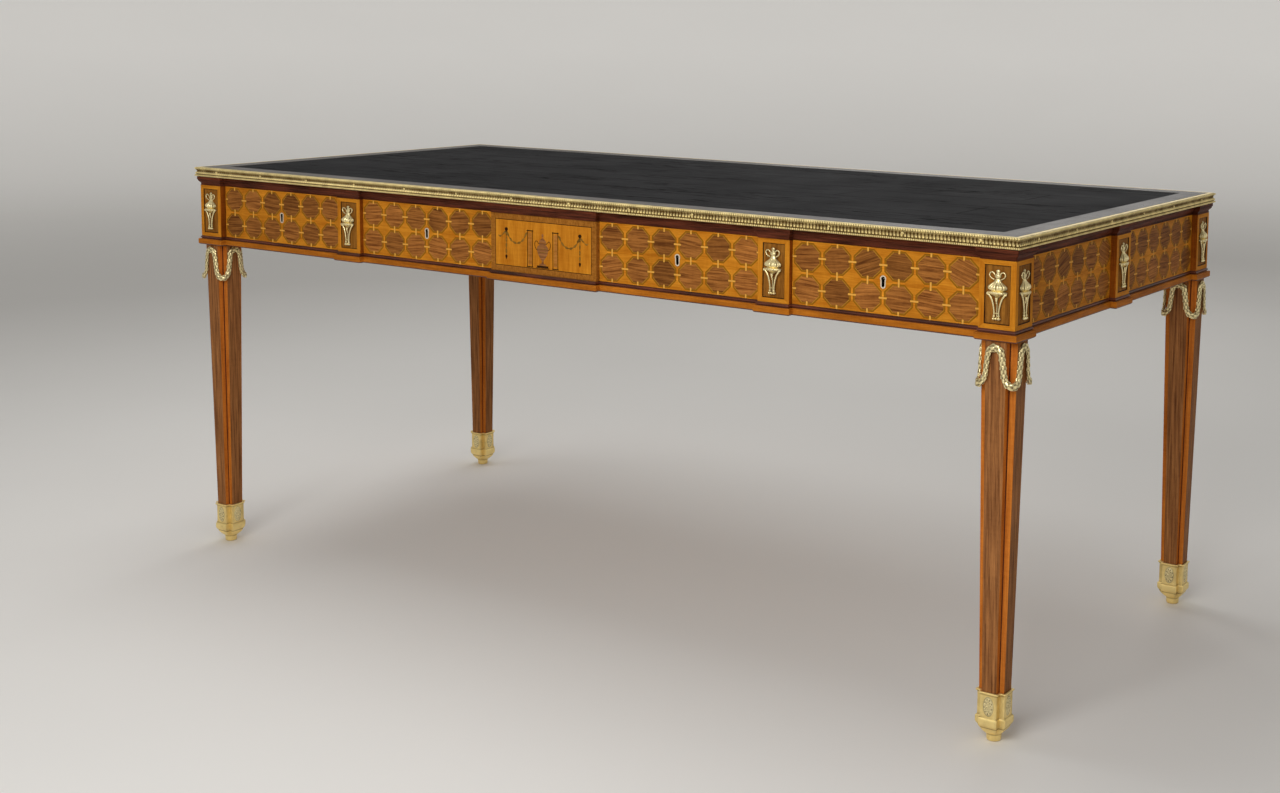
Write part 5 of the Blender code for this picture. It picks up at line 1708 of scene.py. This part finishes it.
def studio_floor(colours, backdrop):
    """A wide floor that turns up into a wall all round: a curve turned about the upright axis.

    Seen directly or in a polished surface, the far wall is paler than the lamps make it."""
    flat_radius, bend, below = 8.0, 6.0, 0.0002
    sweep = np.linspace(0, math.pi / 2, 17)
    radius = np.concatenate([[0.0, 2.0, 5.0], flat_radius + bend * np.sin(sweep)])[:, None]
    level = np.concatenate([[0.0, 0.0, 0.0], bend * (1 - np.cos(sweep))])[:, None] - below
    turn = np.linspace(0, 2 * math.pi, 97)
    shape = Shape()
    shape.surface(np.stack(np.broadcast_arrays(radius * np.cos(turn), radius * np.sin(turn), level), axis=-1))
    floor = stage_object("studio_floor", shape.mesh("studio_floor", 80.0))
    if floor.data.polygons[0].normal.z < 0:
        floor.data.flip_normals()

    def formula(tree):
        place = object_place(tree)
        cloud = noise(tree, place, scale=1.3, detail=4.0)
        x, y, _ = place.parts()
        far = (x * x + y * y).math("SQRT").spread(4.0, 11.0)
        rays = tree.nodes.new("ShaderNodeLightPath")
        kinds = ("Is Camera Ray", "Is Glossy Ray", "Is Transmission Ray")
        camera, glossy, through = (Wire(tree, rays.outputs[label]) for label in kinds)
        paint = tint(tree, colours.floor, cloud * 0.04 + 0.98)
        return {
            "Base Color": paint,
            "Roughness": cloud * 0.1 + 0.6,
            "Emission Color": paint,
            "Emission Strength": far * camera.most(glossy).most(through) * backdrop,
        }

    floor.data.materials.append(surface("Studio floor", formula, 0.0, Specular_IOR_Level=0.2))


def aim_camera(stage):
    """The camera: turned to its heading, tilted down, rolled, and shifted as the picture's frame needs."""
    camera = bpy.data.cameras.new("camera")
    camera.lens = stage.focal
    camera.sensor_width = 36.0
    camera.shift_x, camera.shift_y = stage.shift
    camera.clip_end = 60.0
    viewer = stage_object("camera", camera)
    turn = Matrix.Rotation(stage.heading, 4, "Z") @ Matrix.Rotation(math.pi / 2 - stage.tilt, 4, "X")
    viewer.matrix_world = Matrix.Translation(stage.place) @ turn @ Matrix.Rotation(stage.roll, 4, "Z")
    bpy.context.scene.camera = viewer


# Each lamp's place, the point that it faces, its width and its height
LAMPS = (
    ("key", (0.9, -2.8, 2.0), (0.3, 0.0, 0.5), 1.8, 1.4),
    ("fill", (3.8, -1.2, 1.7), (0.6, 0.0, 0.5), 1.8, 1.6),
    ("overhead", (-1.0, 0.2, 3.2), (-0.4, 0.0, 0.7), 2.4, 1.8),
    ("rear", (-1.0, 3.8, 2.4), (0.0, 0.0, 0.5), 2.4, 1.6),
)


def light_studio(stage):
    """Soft lamps round the table and an even sky."""
    for name, *form in LAMPS:
        soft_light(name, *form, getattr(stage, name))
    world = bpy.data.worlds.new("studio")
    world.use_nodes = True
    sky = world.node_tree.nodes["Background"]
    sky.inputs["Color"].default_value = (1.0, 0.98, 0.95, 1.0)
    sky.inputs["Strength"].default_value = stage.sky
    bpy.context.scene.world = world
    bpy.context.scene.view_settings.view_transform = "Standard"


# The add-on


def settings():
    """The sizes and colours that the operators work from."""
    scene = bpy.context.scene
    return scene.table_sizes, scene.table_colours


def found(*names):
    """Finishes that an earlier operator made."""
    return [bpy.data.materials[name] for name in names]


# Each shared wood: the key of its tones, and where its figure, place or gloss isn't the usual one
WOOD_FINISHES = {
    "Satinwood": ("satin", {"Ripple": 0.12, "Pores": 0.3}),
    "Base wood": ("base", {"Ripple": 0.12, "Pores": 0.4}),
    # Satinwood darkened as painted shade, for the sides, tops and feet of blocks and pilasters.
    "Return wood": ("return", {"Ripple": 0.2}),
    "Mount panel": ("panel", {
        "Bands": 150.0, "Fibres": 1100.0, "Stretch": 8.0, "Ripple": 0.02, "Pores": 0.8,
    }),
    "Crossband": ("band", {"Bands": 90.0, "Stretch": 0.35, "Ripple": 0.05}),
    "Husk wood": ("husk", {"Bands": 200.0}),
    "Purple wood": ("purple", {
        "Bands": 110.0, "Stretch": 9.0, "Ripple": 0.05, "Pores": 0.7, "gloss": WAXED,
    }),
    "Fillet wood": ("purple", {"Bands": 110.0, "Stretch": 9.0, "Ripple": 0.05, "gloss": FILLET_GLOSS}),
    "Leg wood": ("rose", {
        "Bands": 260.0, "Fibres": 1300.0, "Stretch": 28.0, "Ripple": 0.03, "Pores": 1.0,
    }),
    "Notch wood": ("notch", {"Bands": 140.0, "Stretch": 14.0}),
    "Top border": ("border", {
        "Bands": 80.0, "Stretch": 9.0, "Ripple": 0.05, "Pores": 0.8, "place": border_place,
        "gloss": BORDER_GLOSS,
    }),
    "Carcass oak": ("oak", {"Stretch": 9.0, "Ripple": 0.05}),
}

# Each gilt bronze: the key of its tones, and how rough it is at its brightest
BRONZE_FINISHES = {
    "Gilt bronze": ("bronze", 0.21), "Shoe bronze": ("shoe", 0.34), "Edge bronze": ("edge", 0.30),
}


class TABLE_OT_finishes(bpy.types.Operator):
    """Mix the woods, the bronze and the leather that the pieces share"""

    bl_idname = "library_table.finishes"
    bl_label = "Finishes"

    def execute(self, context):
        sizes, colours = settings()
        make_groups(sizes, colours)
        for name, (key, figure) in WOOD_FINISHES.items():
            wood_finish(name, *tones(colours, key), **figure)
        wood_finish("Dark line", colours.ebony, colours.purple_dark, Pores=0.2)
        for name, (key, gloss) in BRONZE_FINISHES.items():
            bronze_finish(name, *gilding(colours, key), gloss)
        surface("Leather", leather_formula(colours), 0.0005, Specular_IOR_Level=0.006)
        return {"FINISHED"}


class TABLE_OT_top(bpy.types.Operator):
    """Lay the leather, polish its border and fix the bronze edge"""

    bl_idname = "library_table.top"
    bl_label = "Top"

    def execute(self, context):
        leather, border, edge = found("Leather", "Top border", "Edge bronze")
        make_leather(leather)
        refinish(["top_board"], border)
        make_edges(edge, settings()[0])
        return {"FINISHED"}


class TABLE_OT_mouldings(bpy.types.Operator):
    """Run the cornice and the base moulding round the frieze"""

    bl_idname = "library_table.mouldings"
    bl_label = "Mouldings"

    def execute(self, context):
        make_cornice(*found("Purple wood"))
        make_base(*found("Fillet wood", "Base wood", "Carcass oak"))
        return {"FINISHED"}


class TABLE_OT_frieze(bpy.types.Operator):
    """Veneer the blocks, pilasters and panels of the frieze"""

    bl_idname = "library_table.frieze"
    bl_label = "Frieze"

    def execute(self, context):
        sizes, colours = settings()
        framed = found("Satinwood", "Dark line", "Mount panel", "Return wood")
        make_blocks(framed, sizes)
        pitch_x = (END_STOPS[1] - END_STOPS[0]) / sizes.cells_along
        pitch_z = (FRIEZE_HEAD - FRIEZE_FOOT) / sizes.cells_up
        parquetry = parquetry_finish("Panel parquetry", flat_place, pitch_x, pitch_z, sizes, colours)
        make_end_friezes(framed, [parquetry, *found("Carcass oak")], sizes)
        banded = found("Crossband", "Dark line", "Satinwood")
        make_centres(banded, found("Dark line", "Husk wood", "Leg wood"), sizes)
        return {"FINISHED"}


class TABLE_OT_drawers(bpy.types.Operator):
    """Veneer the drawers and finish their linings, locks and runners"""

    bl_idname = "library_table.drawers"
    bl_label = "Drawers"

    def execute(self, context):
        finish_drawers(*settings())
        return {"FINISHED"}


class TABLE_OT_urns(bpy.types.Operator):
    """Fix the bronze urns to the frieze"""

    bl_idname = "library_table.urns"
    bl_label = "Urns"

    def execute(self, context):
        make_urns(*found("Gilt bronze"), settings()[0])
        return {"FINISHED"}


class TABLE_OT_legs(bpy.types.Operator):
    """Veneer the legs and fit their shoes and garlands"""

    bl_idname = "library_table.legs"
    bl_label = "Legs"

    def execute(self, context):
        sizes, _ = settings()
        gilt, shoe = found("Gilt bronze", "Shoe bronze")
        # The purple wood also paints the shadow in the notches' inner corners.
        make_legs(found("Leg wood", "Notch wood", "Purple wood"), sizes)
        make_shoes(shoe, gilt, sizes)
        make_garlands(gilt, sizes)
        return {"FINISHED"}


class TABLE_OT_stage(bpy.types.Operator):
    """Set up the floor, the light and the camera"""

    bl_idname = "library_table.stage"
    bl_label = "Stage"

    def execute(self, context):
        stage = context.scene.table_stage
        studio_floor(context.scene.table_colours, stage.backdrop)
        light_studio(stage)
        aim_camera(stage)
        return {"FINISHED"}


OPERATORS = (
    TABLE_OT_finishes,
    TABLE_OT_top,
    TABLE_OT_mouldings,
    TABLE_OT_frieze,
    TABLE_OT_drawers,
    TABLE_OT_urns,
    TABLE_OT_legs,
    TABLE_OT_stage,
)


class TABLE_PT_finish(bpy.types.Panel):
    """Lists the steps that dress the table and the sizes and colours that they use"""

    bl_idname = "TABLE_PT_finish"
    bl_label = "Library table"
    bl_space_type = "VIEW_3D"
    bl_region_type = "UI"
    bl_category = "Library table"

    def draw(self, context):
        for step in OPERATORS:
            self.layout.operator(step.bl_idname)
        for group in (context.scene.table_sizes, context.scene.table_colours, context.scene.table_stage):
            box = self.layout.box()
            for label in group.bl_rna.properties.keys():
                if label not in ("rna_type", "name"):
                    box.prop(group, label)


CLASSES = (TableSizes, TableColours, TableStage, *OPERATORS, TABLE_PT_finish)


def register():
    for item in CLASSES:
        bpy.utils.register_class(item)
    bpy.types.Scene.table_sizes = PointerProperty(type=TableSizes)
    bpy.types.Scene.table_colours = PointerProperty(type=TableColours)
    bpy.types.Scene.table_stage = PointerProperty(type=TableStage)


def unregister():
    del bpy.types.Scene.table_stage
    del bpy.types.Scene.table_colours
    del bpy.types.Scene.table_sizes
    for item in reversed(CLASSES):
        bpy.utils.unregister_class(item)


def main():
    """Dresses the table step by step."""
    register()
    for step in OPERATORS:
        group, name = step.bl_idname.split(".")
        getattr(getattr(bpy.ops, group), name)()


if __name__ == "__main__":
    main()
